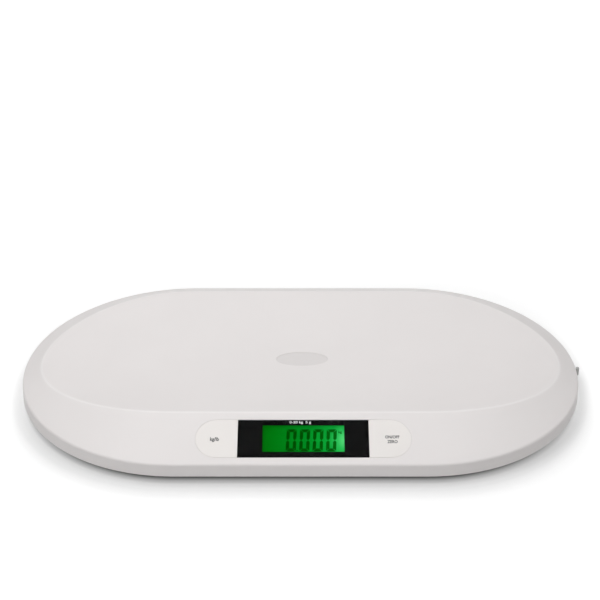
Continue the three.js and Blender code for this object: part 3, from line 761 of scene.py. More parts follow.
def moulded(name, tone, rough, patch=0.03, grain=0.0009, relief=0.000004, spread=0.02, specular=0.5):
    """Moulded plastic: a faint cloudiness in colour and gloss, and the fine relief of its mould."""
    finish = Finish(name)
    finish.clouded(finish.noise(patch), shaded(tone, 1 - spread), shaded(tone, 1 + spread),
                   rough - ROUGH_SPREAD, rough + ROUGH_SPREAD)
    finish.bump(finish.noise(grain, detail=2.0), relief)
    return finish.set(Specular_IOR_Level=specular).material


def rubber_look():
    """Foot rubber: dull, slightly dusty, with a coarse grain."""
    finish = Finish("foot_rubber")
    finish.clouded(finish.noise(0.006), colour(52, 52, 54), colour(66, 66, 67), 0.75, 0.9)
    return finish.bump(finish.noise(0.0005), 0.00004).material


def metal_look(name, tone, rough, stretch, smoother=0.06, rougher=0.08):
    """Metal with fine lines along one direction."""
    finish = Finish(name)
    lines = finish.noise(0.0006, detail=4.0, stretch=stretch)
    finish.clouded(lines, shaded(tone, 0.93), tone, rough - smoother, rough + rougher)
    return finish.bump(lines, 0.000006).set(Metallic=1.0).material


def board_look():
    """Circuit board: green lacquer over copper lanes that show as a lighter green."""
    finish = Finish("green_circuit_board")
    lanes = finish.step("ShaderNodeTexBrick", "Color", {
        "Scale": 160, "Mortar Size": 0.05, "Color1": colour(24, 94, 52), "Color2": colour(30, 104, 58),
        "Mortar": colour(72, 148, 92), "Vector": finish.place})
    rough = finish.between(finish.noise(0.004), 0.25, 0.4)
    return finish.set(Base_Color=lanes, Roughness=rough).material


def window_look():
    """Clear pane: thin, smooth, and faintly uneven so that its gloss isn't a perfect mirror."""
    finish = Finish("clear_window")
    finish.clouded(finish.noise(0.02), (0.97, 0.98, 0.98, 1), (0.99, 1, 1, 1), 0.0, 0.02)
    return finish.set(Transmission_Weight=1.0, IOR=1.15).material


COVER_TONE = colour(234, 230, 229)
COVER_SPREAD = 0.008
# Paler tone painted along the ridge as a highlight, and how far from the ridge it reaches
RIDGE_HIGHLIGHT_TONE = colour(240, 237, 236)
RIDGE_HIGHLIGHT_REACH = 0.002


def cover_look():
    """Satin moulded plastic, with a painted highlight: a paler tone along the ridge."""
    finish = Finish("cover_satin_plastic")
    cloud = finish.noise(0.06)
    tone = finish.ramp(cloud, [(CLOUD_LOW, shaded(COVER_TONE, 1 - COVER_SPREAD)),
                               (CLOUD_HIGH, shaded(COVER_TONE, 1 + COVER_SPREAD))])
    # The ridge attribute masks the painted highlight: the paler tone is mixed in along the ridge
    ridge = finish.step("ShaderNodeAttribute", "Fac", {}, attribute_name="ridge")
    finish.set(Base_Color=finish.mix(ridge, tone, RIDGE_HIGHLIGHT_TONE), Roughness=finish.between(cloud, 0.42, 0.48),
               Specular_IOR_Level=0.16)
    return finish.bump(finish.noise(0.0016, detail=2.0), 0.000004).material


# Lamp behind the right end of the display, and how brightly the display shines
LCD_LAMP_X = 0.0425
LCD_LAMP_U = 0.001
LCD_LAMP_REACH = 0.08
LCD_GLOW = 0.66
LCD_UNLIT_SHARE = 0.4
LCD_ROUGH = 0.4
LCD_TONES = [
    (0.0, colour(112, 240, 150)), (0.05, colour(94, 230, 132)), (0.14, colour(46, 196, 90)),
    (0.24, colour(12, 166, 56)), (0.48, colour(0, 141, 34)), (0.8, colour(0, 125, 20)),
    (1.0, colour(0, 112, 8)),
]
SEGMENT_TONES = [(0.1, colour(6, 104, 20)), (0.4, colour(0, 80, 3)), (0.8, colour(0, 70, 0))]


def lit_look(name, tones):
    """Lit display: it shines in tones that go with the distance from its lamp, over a darker body.

    The distance runs from 0 at the lamp to 1 at LCD_LAMP_REACH from it."""
    finish = Finish(name)
    lamp = in_panel()(np.array([LCD_LAMP_X, LCD_LAMP_U, LCD_TOP]))
    away = finish.vector("LENGTH", finish.vector("SUBTRACT", finish.place, lamp))
    tone = finish.ramp(finish.between(away, 0, 1, 0, LCD_LAMP_REACH), tones)
    return finish.set(
        Base_Color=finish.mix(LCD_UNLIT_SHARE, (0, 0, 0, 1), tone), Emission_Color=tone,
        Emission_Strength=LCD_GLOW, Roughness=LCD_ROUGH, Specular_IOR_Level=0.0).material


LOOKS = {
    "cover": cover_look(),
    "key": moulded("key_film", colour(238, 234, 231), 0.5, grain=0.0006, spread=0.008, specular=0.3),
    "badge": moulded("badge_plastic", colour(226, 222, 221), 0.45, grain=0.0005, spread=0.01),
    "base": moulded("base_satin_plastic", colour(228, 226, 223), 0.5, grain=0.0008, relief=0.00001),
    "tab": moulded("tape_tab_plastic", colour(182, 182, 180), 0.4, patch=0.004),
    "tape": moulded("tape_ribbon", colour(244, 243, 239), 0.45, patch=0.008, grain=0.0004),
    "tape_part": moulded("tape_fitting_plastic", colour(240, 239, 236), 0.4, grain=0.0008),
    "holder": moulded("holder_plastic", colour(240, 238, 234), 0.55),
    "part_black": moulded("electronic_part_black", colour(34, 34, 36), 0.55, patch=0.004, grain=0.0002),
    "mask": moulded("window_mask_print", colour(26, 26, 26), 0.5, patch=0.01, grain=0.0003, specular=0.0),
    "print_white": moulded("white_print", colour(238, 238, 238), 0.5, patch=0.004),
    "print_grey": moulded("dark_grey_print", colour(70, 70, 72), 0.5, patch=0.004),
    "print_black": moulded("black_print", colour(24, 24, 26), 0.5, patch=0.004),
    "wire_red": moulded("red_wire_sleeve", colour(176, 38, 30), 0.4, patch=0.004),
    "wire_black": moulded("black_wire_sleeve", colour(28, 28, 31), 0.4, patch=0.004),
    "elastomer": moulded("pink_contact_rubber", colour(216, 144, 160), 0.7, patch=0.002),
    "light_guide": moulded("light_guide_plastic", colour(202, 240, 196), 0.3, patch=0.01),
    "lens_mount": moulded("display_frame_plastic", colour(236, 236, 234), 0.5),
    "jacket": moulded("battery_sleeve", colour(66, 69, 76), 0.3, patch=0.01),
    "rubber": rubber_look(),
    "steel": metal_look("brushed_steel", colour(196, 198, 202), 0.32, (1, 6, 6)),
    "contact": metal_look("plated_contact", colour(206, 208, 212), 0.2, (1, 1, 1)),
    "spring": metal_look("spring_steel", colour(150, 153, 158), 0.3, (1, 1, 8)),
    "board": board_look(),
    "window": window_look(),
    "lcd": lit_look("lit_green_display", LCD_TONES),
    "segment": lit_look("lcd_segment", SEGMENT_TONES),
}


def dress(piece, look, body, slot, *nodes):
    """Gives a finished piece its material and its body, and hides the CAD nodes that it stands for. The slot
    is not used.
    """
    piece.data.materials.clear()
    piece.data.materials.append(LOOKS[look])
    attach(piece, body)
    if nodes:
        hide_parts(*nodes)
    return piece


# Platform cover

def outline_stations(arc_steps, side_steps):
    """Spine point and outward direction of each station round the platform, from its front left corner."""
    arc = np.linspace(-math.pi / 2, math.pi / 2, arc_steps, endpoint=False)
    side = np.linspace(-1, 1, side_steps, endpoint=False)
    turn = np.concatenate([
        np.full(side_steps, -math.pi / 2), arc, np.full(side_steps, math.pi / 2), arc + math.pi])
    spine = np.concatenate([side, np.ones(arc_steps), -side, -np.ones(arc_steps)]) * SPINE_HALF
    return spine, turn


def platform_ring(stations, inset, height):
    """One ring round the platform: each station's spine point, carried out by the end radius less inset."""
    spine, turn = stations
    reach = END_RADIUS - inset
    x = CENTRE_X + spine + reach * np.cos(turn)
    y = reach * np.sin(turn)
    return np.stack([x, y, np.broadcast_to(height, x.shape)], axis=-1)


def trough_height(y):
    """Height of the trough: a parabola across the platform."""
    return TROUGH_Z + TROUGH_CURVE * y ** 2


def ridge_inset(turn, rim_drop, trough_drop):
    """How far in the sloping rim, lowered by rim_drop, meets the trough, lowered by trough_drop.

    It is the root of: rim height at the radius equals trough height at the radius times the sine."""
    spare = EDGE_Z + RIM_SLOPE * END_RADIUS - rim_drop - TROUGH_Z + trough_drop
    bend = TROUGH_CURVE * np.sin(turn) ** 2
    return END_RADIUS - 2 * spare / (RIM_SLOPE + np.sqrt(RIM_SLOPE ** 2 + 4 * bend * spare))


def top_height(inset, turn):
    """The lower of rim and trough, blended where they are closer than RIDGE_BLEND."""
    rim = EDGE_Z + RIM_SLOPE * inset
    trough = trough_height((END_RADIUS - inset) * np.sin(turn))
    near = np.maximum(RIDGE_BLEND - np.abs(rim - trough), 0) / RIDGE_BLEND
    return np.minimum(rim, trough) - near ** 2 * RIDGE_BLEND / 4


def cover_outside(stations):
    """Rings from the wall's foot up the wall, round the edge, up the rim, over the ridge and into the trough.

    The edge is an arc about centre that touches the rim and the wall, which leans in."""
    turn = stations[1]
    rows = [(inward, WALL_BOTTOM + rise) for inward, rise in quarter_round(FOOT_ROUND, FOOT_STEPS)]
    foot = rows[-1][1]
    under_rim = EDGE_Z - EDGE_ROUND / math.cos(RIM_ANGLE)
    centre = EDGE_ROUND + (under_rim - foot) * math.sin(WALL_LEAN)
    centre /= math.cos(WALL_LEAN) - RIM_SLOPE * math.sin(WALL_LEAN)
    centre_z = under_rim + RIM_SLOPE * centre
    arc = np.linspace(math.pi - WALL_LEAN, math.pi / 2 + RIM_ANGLE, EDGE_STEPS + 1)
    edge = list(zip(centre + EDGE_ROUND * np.cos(arc), centre_z + EDGE_ROUND * np.sin(arc)))
    top_inset, top = edge[0]
    rows += list(zip(even_steps(0, top_inset, WALL_STEPS), even_steps(foot, top, WALL_STEPS)))[:-1]
    rows += edge
    ridge = ridge_inset(turn, 0, 0)
    insets = even_steps(edge[-1][0], ridge - RIDGE_REACH, RIM_STEPS)
    insets += even_steps(ridge - RIDGE_REACH, ridge + RIDGE_REACH, RIDGE_STEPS)
    insets += even_steps(ridge + RIDGE_REACH, END_RADIUS, TROUGH_STEPS)
    rows += [(inset, top_height(inset, turn)) for inset in insets]
    return [platform_ring(stations, inset, height) for inset, height in rows]


def cover_inside(stations, drop):
    """Rings of the cover's hollow, from the middle of its ceiling out and down to the wall's foot.

    They follow the trough lowered by drop, the rim lowered square to its slope, and the wall."""
    turn = stations[1]
    rim_drop = drop / math.cos(RIM_ANGLE)
    ridge = ridge_inset(turn, rim_drop, drop)
    insets = [END_RADIUS] + even_steps(END_RADIUS, ridge, CEILING_STEPS)
    rows = [(inset, trough_height((END_RADIUS - inset) * np.sin(turn)) - drop) for inset in insets]
    rows += [(inset, EDGE_Z + RIM_SLOPE * inset - rim_drop) for inset in even_steps(ridge, drop, SLOPE_STEPS)]
    rows += [(drop, z) for z in even_steps(EDGE_Z - rim_drop, WALL_BOTTOM, INNER_WALL_STEPS)]
    return [platform_ring(stations, inset, height) for inset, height in rows]


def ceiling(x, y, drop):
    """Height of the cover over a point, lowered by drop square to the rim or straight below the trough."""
    inset = END_RADIUS - np.hypot(np.maximum(np.abs(x - CENTRE_X) - SPINE_HALF, 0), y)
    return np.minimum(trough_height(y) - drop, EDGE_Z + RIM_SLOPE * inset - drop / math.cos(RIM_ANGLE))


def cover_rib(x):
    """Upright rib under the cover, its top just inside the skin and its foot a rib's depth below it."""
    y = np.linspace(-RIB_HALF_WIDTH, RIB_HALF_WIDTH, RIB_STEPS + 1)
    top = ceiling(x, y, SKIN - GAP)
    low = ceiling(x, y, SKIN + RIB_DEPTH)
    outline = np.stack([np.concatenate([y, y[::-1]]), np.concatenate([top, low[::-1]])], axis=-1)
    sides = [np.concatenate([np.full((len(outline), 1), x + half), outline], axis=1)
             for half in (-RIB_THICK / 2, RIB_THICK / 2)]
    return stack("rib", np.stack(sides))





def badge_body(name, rows):
    """Body through ovals that follow the trough, at rows of (how far out, how deep, share of full size)."""
    outline = oval(BADGE_HALF_LENGTH, BADGE_HALF_WIDTH, BADGE_TURN_STEPS)
    rings = []
    for out, depth, share in rows:
        points = outline(out) * share
        x, y = CENTRE_X + BADGE_X + points[:, 0], BADGE_Y + points[:, 1]
        rings.append(np.stack([x, y, trough_height(y) - depth], axis=-1))
    return wrapped(name, np.stack(rings))


def badge_recess():
    """What is cut from the trough for the badge: an oval from above the surface to under the badge."""
    shares = np.linspace(0, 1, BADGE_UNDER_STEPS + 1)
    rows = [(BADGE_FIT, -GAP, share) for share in shares]
    rows += [(BADGE_FIT, BADGE_THICK + GAP, share) for share in reversed(shares)]
    return badge_body("recess", rows)


def mark_ridge(cover):
    """Each point's nearness to the ridge, as an attribute: 0 at the painted highlight's reach and beyond, 1
    on the ridge. It masks the painted highlight along the ridge.
    """
    points = np.zeros(len(cover.data.vertices) * 3)
    cover.data.vertices.foreach_get("co", points)
    x, y, z = points.reshape(-1, 3).T
    beyond = np.sign(x - CENTRE_X) * np.maximum(np.abs(x - CENTRE_X) - SPINE_HALF, 0)
    inset = END_RADIUS - np.hypot(beyond, y)
    away = np.abs(inset - ridge_inset(np.arctan2(y, beyond), 0, 0))
    near = np.clip(1 - away / RIDGE_HIGHLIGHT_REACH, 0, 1) * (z > EDGE_Z)
    marks = cover.data.attributes.new("ridge", "FLOAT", "POINT")
    marks.data.foreach_set("value", near.astype(np.float32))


def panel_cuts():
    """What the panel leaves open: its shallow pocket, the two keys' ways and the view to the display."""
    lip, under = POCKET_CHAMFER, -PANEL_BLOCK_DEPTH - GAP
    pocket = plate("pocket", stadium(PANEL_HALF_LENGTH, PANEL_HALF_WIDTH),
                   [(GAP, -POCKET_DEPTH), (GAP, -lip), (GAP + 2 * lip, lip)], in_panel())
    keyways = [plate("keyway", key_outline(side), [(GAP, under), (GAP, -lip)], in_panel())
               for side in (-1, 1)]
    opening = rounded_box(VIEW_HALF_LENGTH + VIEW_MARGIN, VIEW_HALF_WIDTH + VIEW_MARGIN, GAP)
    view = plate("view", opening, [(0, under), (0, -lip)], in_panel(VIEW_X, VIEW_U))
    return [pocket, *keyways, view]


def platform_cover():
    """Shell round its hollow, with ribs, bosses, posts and the panel's block added and its openings cut."""
    stations = outline_stations(ARC_STEPS, SIDE_STEPS)
    cover = wrapped("cover_shell", np.stack(cover_inside(stations, SKIN) + cover_outside(stations)))
    ribs = [cover_rib(CENTRE_X + RIB_PITCH * (i - (RIB_COUNT - 1) / 2)) for i in range(RIB_COUNT)]
    wells = screw_centres()
    bosses = [peg("boss", BOSS_RADIUS, WELL_TOP + GAP, trough_height(y) - SKIN + BOSS_SINK, upright(x, y))
              for x, y, _ in wells]
    posts = [peg("post", POST_RADIUS, POST_BOTTOM, -PANEL_BLOCK_DEPTH + GAP, in_panel(*place))
             for place in POST_PLACES]
    margin = PANEL_BLOCK_MARGIN
    block = plate("block", stadium(PANEL_HALF_LENGTH + margin, PANEL_HALF_WIDTH + margin),
                  [(0, -PANEL_BLOCK_DEPTH), (0, -PANEL_BLOCK_TOP)], in_panel())
    join(cover, *ribs, *bosses, block, *posts)
    holes = [peg("hole", SCREW_RADIUS + GAP, 0, top + GAP, upright(x, y)) for x, y, top in wells]
    holes += [peg("hole", BOARD_SCREW_RADIUS + GAP, POST_BOTTOM - GAP, BOARD_SCREW_TOP + GAP,
                  in_panel(*place)) for place in POST_PLACES]
    tape_y, tape_low, tape_high = tape_line()
    slot = boxes("slot", [COVER_HIGH.x - TAPE_SLOT_DEPTH, tape_y - TAPE_SLOT_HALF, tape_low - GAP],
                 [COVER_HIGH.x + GAP, tape_y + TAPE_SLOT_HALF, tape_high + GAP])
    cut(cover, *holes, *panel_cuts(), badge_recess(), slot)
    mark_ridge(cover)
    return dress(soften(cover), "cover", "housing", "cover_white", "platform_cover")


def tray_badge():
    """Oval plate flush with the trough, its top edge rounded by a quarter circle."""
    rows = [(-BADGE_ROUND, 0, share) for share in np.linspace(0, 1, BADGE_TOP_STEPS + 1)[:-1]]
    rows += [(-inward, depth, 1) for inward, depth in quarter_round(BADGE_ROUND)]
    rows += [(0, BADGE_THICK, share) for share in np.linspace(1, 0, BADGE_UNDER_STEPS + 1)]
    badge = badge_body("tray_badge_plate", rows)
    return dress(soften(badge), "badge", "housing", "badge_grey", "tray_badge")


# Display window, keys and lit display

def window_pane():
    """Clear plate level with the keys, a fine chamfer round its face."""
    levels = rounded_levels(-WINDOW_THICK, 0, 0, POCKET_CHAMFER)
    levels = [(out + PANEL_FIT, height) for out, height in levels]
    outline = rounded_box(WINDOW_HALF_LENGTH, PANEL_HALF_WIDTH, WINDOW_CORNER)
    pane = plate("window_pane", outline, levels, in_panel())
    return dress(soften(pane), "window", "housing", "clear_window", "display_window")


def mask_sheet():
    """Black sheet with an opening: its rings run up its outside, in to the opening and down that."""
    outside = rounded_box(WINDOW_HALF_LENGTH, PANEL_HALF_WIDTH, WINDOW_CORNER)(PANEL_FIT)
    opening = rounded_box(VIEW_HALF_LENGTH, VIEW_HALF_WIDTH, VIEW_CORNER)(0) + np.array([VIEW_X, VIEW_U])
    low = MASK_TOP - MASK_THICK
    sides = [(outside, low), (outside, MASK_TOP), (opening, MASK_TOP), (opening, low), (outside, low)]
    rings = np.stack([np.insert(outline, 2, height, axis=1) for outline, height in sides])
    sheet = wrapped("mask_sheet", in_panel()(rings))
    return dress(soften(sheet), "mask", "housing", "mask_black", "window_mask")


def key_cap(name, side, node):
    """Key: half a stadium on a wider flange, the edge of its face rounded by a quarter circle."""
    flange = LCD_TOP - KEY_FLANGE_THICK
    levels = [(KEY_FLANGE_OUT, flange), (KEY_FLANGE_OUT, LCD_TOP)]
    levels += [(out + PANEL_FIT, height) for out, height in rounded_levels(LCD_TOP, 0, 0, KEY_ROUND)]
    cap = plate(name, key_outline(side), levels, in_panel())
    return dress(soften(cap), "key", node, "key_white", node)


def lcd_glass():
    """Flat plate with rounded edges, all of it lit."""
    outline = rounded_box(LCD_HALF_LENGTH, LCD_HALF_WIDTH, LCD_CHAMFER)
    levels = rounded_levels(LCD_TOP - LCD_THICK, LCD_TOP, LCD_CHAMFER, LCD_CHAMFER)
    glass = plate("lcd_glass", outline, levels, in_panel())
    return dress(soften(glass), "lcd", "housing", "display_green", "lcd_panel")


def zero_segments(x, u):
    """The six lit bars of a seven-bar zero: mitred where they meet, pointed where the middle bar would be."""
    wide, tall, gap = DIGIT_WIDTH / 2, DIGIT_HEIGHT / 2, SEGMENT_SPACE
    inner_x, inner_u = wide - SEGMENT_WIDTH, tall - SEGMENT_WIDTH
    shoulder = gap + SEGMENT_WIDTH / 2
    end = wide - SEGMENT_CORNER - gap
    lying = [(-end, tall), (end, tall), (inner_x - gap, inner_u), (gap - inner_x, inner_u)]
    standing = [(wide, tall - SEGMENT_CORNER - gap), (wide, shoulder), (wide - SEGMENT_WIDTH / 2, gap),
                (inner_x, shoulder), (inner_x, inner_u - gap)]
    middle = np.array([x + wide, u + tall])
    bars = [middle + np.array(lying) * (1, side) for side in (-1, 1)]
    return bars + [middle + np.array(standing) * (i, j) for i in (-1, 1) for j in (-1, 1)]


def lcd_figures():
    """Four zeros, their point and the unit, as flat print; the zeros lean by DIGIT_LEAN along per unit up."""
    bars = []
    for i in range(DIGIT_COUNT):
        bars += zero_segments(DIGIT_FIRST_X + DIGIT_PITCH * i, DIGIT_LOW_U)
    bars.append(rounded_box(POINT_HALF, POINT_HALF, POINT_HALF / 3)(0) + np.array([POINT_X, POINT_U]))
    lean = np.array([[1, 0], [DIGIT_LEAN, 1]])
    bars = [bar @ lean for bar in bars]
    figures = print_piece("lcd_figures", [("kg", MARK_HEIGHT, MARK_X, MARK_U)], on_panel(LCD_TOP), bars)
    return dress(figures, "segment", "housing", "display_green")


def legend(name, lines, height, look, body, slot, width):
    """Lines of print on the panel at a height out of it."""
    return dress(print_piece(name, lines, on_panel(height), width=width), look, body, slot)


def display():
    """Everything on the sloping panel."""
    window_pane()
    mask_sheet()
    lcd_glass()
    lcd_figures()
    key_cap("unit_key_cap", -1, "unit_key")
    key_cap("power_key_cap", 1, "power_key")
    legend("window_legend", [("0-20 kg  5 g", RANGE_HEIGHT, RANGE_X, RANGE_U)], MASK_TOP,
           "print_white", "housing", "mask_black", RANGE_LETTER_WIDTH)
    legend("unit_legend", [("kg/lb", UNIT_LEGEND_HEIGHT, UNIT_LEGEND_X, UNIT_LEGEND_U)], 0,
           "print_grey", "unit_key", "key_white", KEY_LETTER_WIDTH)
    legend("power_legend", [("ON/OFF", POWER_LEGEND_HEIGHT, POWER_LEGEND_X, POWER_LEGEND_U),
                            ("ZERO", POWER_LEGEND_HEIGHT, POWER_LEGEND_X, ZERO_LEGEND_U)], 0,
           "print_grey", "power_key", "key_white", KEY_LETTER_WIDTH)


# Base shell

def rod_along_y(name, x, z, radius, y_low, y_high, steps=40):
    """Straight round rod from y_low to y_high, with both ends closed."""
    profile = [(0, y_low), (radius, y_low), (radius, y_high), (0, y_high)]
    return turned(name, profile, (x, 0, z), steps, along=(0, 2, 1))


def tail_slots(roof):
    """Slots in the roof of the battery box where the two outer contacts' tails come out."""
    slots = []
    for node, cell in (("battery_contact_plus", "battery_1"), ("battery_contact_minus", "battery_4")):
        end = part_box(node)[1]
        y = middle_of(cell)[1]
        slots.append(boxes("slot", [end.x - TAIL_SLOT_DEPTH, y - TAIL_SLOT_HALF, roof - GAP],
                           [end.x + GAP, y + TAIL_SLOT_HALF, end.z + GAP]))
    return slots


def screw_well(x, y):
    """What a case screw's well leaves open: its mouth, the room of the head and the way of the shank."""
    profile = [(0, 0), (WELL_HOLE_RADIUS + GAP, 0), (WELL_HOLE_RADIUS + GAP, WALL_BOTTOM),
               (WELL_HOLE_RADIUS, WALL_BOTTOM + GAP), (WELL_HOLE_RADIUS, WELL_HOLE_TOP),
               (SCREW_RADIUS + GAP, WELL_HOLE_TOP), (SCREW_RADIUS + GAP, WELL_TOP + GAP),
               (0, WELL_TOP + GAP)]
    return turned("hole", profile, (x, y, 0))


def foot_hole(corner):
    """Round hole for a foot's cup, a little wider at its mouth."""
    radius = FOOT_HOLE_RADIUS
    profile = [(0, 0), (radius + GAP, 0), (radius + GAP, WALL_BOTTOM), (radius, WALL_BOTTOM + GAP),
               (radius, LIP_TOP), (0, LIP_TOP)]
    return turned("foot_hole", profile, (*middle_of("foot_pad_" + corner), 0), FINE_TURN_STEPS)


def base_shell():
    """Flat shell with a lip: a section of (inset, height) carried round the platform.

    The battery box, the spool's post and the screw wells are added, and its holes are cut."""
    stations = outline_stations(ARC_STEPS // 2, 1)
    inner = BASE_INSET + LIP_THICK
    rows = [(BASE_INSET + BASE_ROUND + GUARD, WALL_BOTTOM)]
    rows += [(BASE_INSET + inward, WALL_BOTTOM + rise)
             for inward, rise in quarter_round(BASE_ROUND, BASE_STEPS)]
    rows += [(BASE_INSET, LIP_TOP), (inner, LIP_TOP), (inner, BASE_TOP)]
    base = stack("base_plate", np.stack([platform_ring(stations, inset, height) for inset, height in rows]))
    wells = screw_centres()
    low, high = battery_room()
    wall = np.full(3, BOX_WALL)
    tub = boxes("tub", np.append((low - wall)[:2], WALL_BOTTOM), high + wall)
    spool_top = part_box("tape_spool")[1].z
    post = peg("post", SPOOL_POST_RADIUS, BASE_TOP - GAP, spool_top, upright(*middle_of("tape_spool")))
    join(base, tub, post,
         *[peg("well", WELL_RADIUS, WALL_BOTTOM + GAP, WELL_TOP, upright(x, y)) for x, y, _ in wells])
    reach = DOOR_PIN_LENGTH + GAP
    pinhole = rod_along_y("pinhole", *door_axis(), DOOR_PIN_RADIUS + GAP, low[1] - reach, high[1] + reach)
    cut(base, boxes("room", low, high), *[screw_well(x, y) for x, y, _ in wells],
        *[foot_hole(corner) for corner in CORNERS], pinhole, notch_dish(high[0], (low[1] + high[1]) / 2),
        *tail_slots(high[2]), *tape_cuts())
    return dress(soften(base), "base", "housing", "base_white", "base_shell")


def notch_dish(x, y):
    """Shallow dish for a fingertip: a round bowl that is NOTCH_DEPTH deep at its middle."""
    share = np.linspace(0, 1, NOTCH_STEPS + 1)
    profile = [(NOTCH_RADIUS * s, WALL_BOTTOM + NOTCH_DEPTH * (1 - s ** 2)) for s in share]
    profile += [(NOTCH_RADIUS, 0), (0, 0)]
    return turned("notch", profile, (x, y, 0))


def tape_cuts():
    """Dished ring and hole for the button, the room of its flange, and the slot in the lip for the tape."""
    x, y = middle_of("tape_button")
    flange_low, flange_high = WALL_BOTTOM + BUTTON_ROOM_LOW, BASE_TOP + GAP
    dish_top = WALL_BOTTOM + BUTTON_DISH_DEPTH
    room = BUTTON_HOLE_RADIUS + BUTTON_ROOM_MARGIN
    profile = [(0, 0), (BUTTON_DISH_RADIUS, 0), (BUTTON_DISH_RADIUS, WALL_BOTTOM),
               (BUTTON_DISH_FLOOR_RADIUS, dish_top), (BUTTON_HOLE_RADIUS, dish_top),
               (BUTTON_HOLE_RADIUS, flange_low), (room, flange_low), (room, flange_high), (0, flange_high)]
    guide_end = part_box("tape_guide")[1].x
    slot = boxes("slot", [guide_end, y - LIP_SLOT_HALF, BASE_TOP + GAP],
                 [COVER_HIGH.x - SKIN, y + LIP_SLOT_HALF, LIP_TOP + GAP])
    return [turned("button_hole", profile, (x, y, 0)), slot]


def battery_door():
    """Rounded plate with the barrel and pins that it turns on, two ribs, a latch and fine bars to grip."""
    low, high = battery_room()
    middle_y = (low[1] + high[1]) / 2
    barrel_x, barrel_z = door_axis()
    edge = high[0] - GAP
    half_length = (edge - barrel_x) / 2
    half_width = (high[1] - low[1]) / 2 - GAP
    door = plate("door_plate", rounded_box(half_length, half_width, DOOR_CORNER),
                 rounded_levels(WALL_BOTTOM, BASE_TOP, DOOR_ROUND, 0),
                 upright(barrel_x + half_length, middle_y))
    y_low, y_high = middle_y - half_width, middle_y + half_width
    pin = DOOR_PIN_LENGTH
    join(door, rod_along_y("barrel", barrel_x, barrel_z, DOOR_BARREL_RADIUS, y_low, y_high),
         rod_along_y("pin", barrel_x, barrel_z, DOOR_PIN_RADIUS, y_low - pin, y_high + pin))
    room_middle = (low[0] + high[0]) / 2
    half = DOOR_RIB_THICK / 2
    rib_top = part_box("battery_door")[1].z
    ribs = [boxes("rib", [x - half, y_low + GAP, BASE_TOP - GAP], [x + half, y_high - GAP, rib_top])
            for x in (room_middle - DOOR_RIB_PLACE, room_middle + DOOR_RIB_PLACE)]
    latch = boxes("latch", [edge - DOOR_LATCH_DEPTH, middle_y - DOOR_LATCH_HALF, BASE_TOP - GAP],
                  [edge, middle_y + DOOR_LATCH_HALF, rib_top - DOOR_LATCH_DROP])
    bar = rounded_box(GRIP_HALF_WIDTH, GRIP_HALF_LENGTH, GRIP_HALF_WIDTH * GRIP_CORNER_SHARE)
    levels = [(-GRIP_HALF_WIDTH / 2, WALL_BOTTOM - GRIP_HEIGHT), (0, WALL_BOTTOM - GRIP_HEIGHT / 2),
              (0, WALL_BOTTOM + GAP)]
    grips = [plate("grip", bar, levels, upright(edge - GRIP_FROM_EDGE - GRIP_PITCH * i, middle_y))
             for i in range(GRIP_COUNT)]
    join(door, *ribs, latch, *grips)
    return dress(soften(door), "base", "battery_door", "base_white", "battery_door")


# Feet, screws and button

def foot(corner):
    """Rubber pad with two ring grooves under it, in a plastic cup with a flange and a pin.

    Each is a profile of (radius, height, round) turned once round the foot's axis."""
    pad_low, pad_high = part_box("foot_pad_" + corner)
    centre = (*middle_of("foot_pad_" + corner), 0)
    radius, top = (pad_high.x - pad_low.x) / 2, pad_high.z
    corners = [(0, 0, 0)]
    for share in GROOVE_SHARES:
        near, far = radius * share - GROOVE_HALF_WIDTH, radius * share + GROOVE_HALF_WIDTH
        corners += [(near, 0, GROOVE_DEPTH / 3), (near + GROOVE_DEPTH / 2, GROOVE_DEPTH, 0),
                    (far - GROOVE_DEPTH / 2, GROOVE_DEPTH, 0), (far, 0, GROOVE_DEPTH / 3)]
    corners += [(radius, 0, PAD_ROUND), (radius, top, 0), (0, top, 0)]
    pad = turned("pad_" + corner, fillet(corners), centre, FINE_TURN_STEPS)
    dress(soften(pad), "rubber", "housing", "foot_rubber", "foot_pad_" + corner)
    cup_low, cup_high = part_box("foot_cup_" + corner)
    flange = (cup_high.x - cup_low.x) / 2
    inner, roof = radius + GAP, top + GAP
    shoulder = BASE_TOP + GAP
    flange_top = shoulder + CUP_FLANGE_THICK
    corners = [(0, roof, 0), (inner, roof, 0), (inner, cup_low.z, SOFT_ROUND),
               (CUP_RADIUS, cup_low.z, BROAD_ROUND), (CUP_RADIUS, shoulder, CRISP_ROUND),
               (flange, shoulder, CRISP_ROUND), (flange, flange_top, FINE_ROUND),
               (CUP_PIN_RADIUS, flange_top, FINE_ROUND), (CUP_PIN_RADIUS, cup_high.z, SOFT_ROUND),
               (0, cup_high.z, 0)]
    cup = turned("cup_" + corner, fillet(corners), centre, FINE_TURN_STEPS)
    dress(soften(cup), "base", "housing", "base_white", "foot_cup_" + corner)


def case_screw(number):
    """Pan-head screw, its head down: a profile turned once round, with a cross recess cut in."""
    node = CASE_SCREWS[number - 1]
    low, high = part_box(node)
    x, y = middle_of(node)
    head = (high.x - low.x) / 2
    head_top = low.z + HEAD_HEIGHT
    corners = [(0, low.z, 0), (head * HEAD_FLAT_SHARE, low.z, BROAD_ROUND),
               (head, low.z + HEAD_EDGE, SOFT_ROUND), (head, head_top, CRISP_ROUND),
               (SCREW_RADIUS, head_top, 0), (SCREW_RADIUS, high.z - SHANK_TIP, SHANK_ROUND), (0, high.z, 0)]
    screw = turned(f"screw_{number}", fillet(corners), (x, y, 0), SCREW_TURN_STEPS)
    bottom, top = low.z - GAP, low.z + CROSS_DEPTH
    for half_x, half_y in ((CROSS_REACH, CROSS_HALF_WIDTH), (CROSS_HALF_WIDTH, CROSS_REACH)):
        cut(screw, boxes("cross", [x - half_x, y - half_y, bottom], [x + half_x, y + half_y, top]))
    return dress(soften(screw), "steel", "housing", "steel", node)


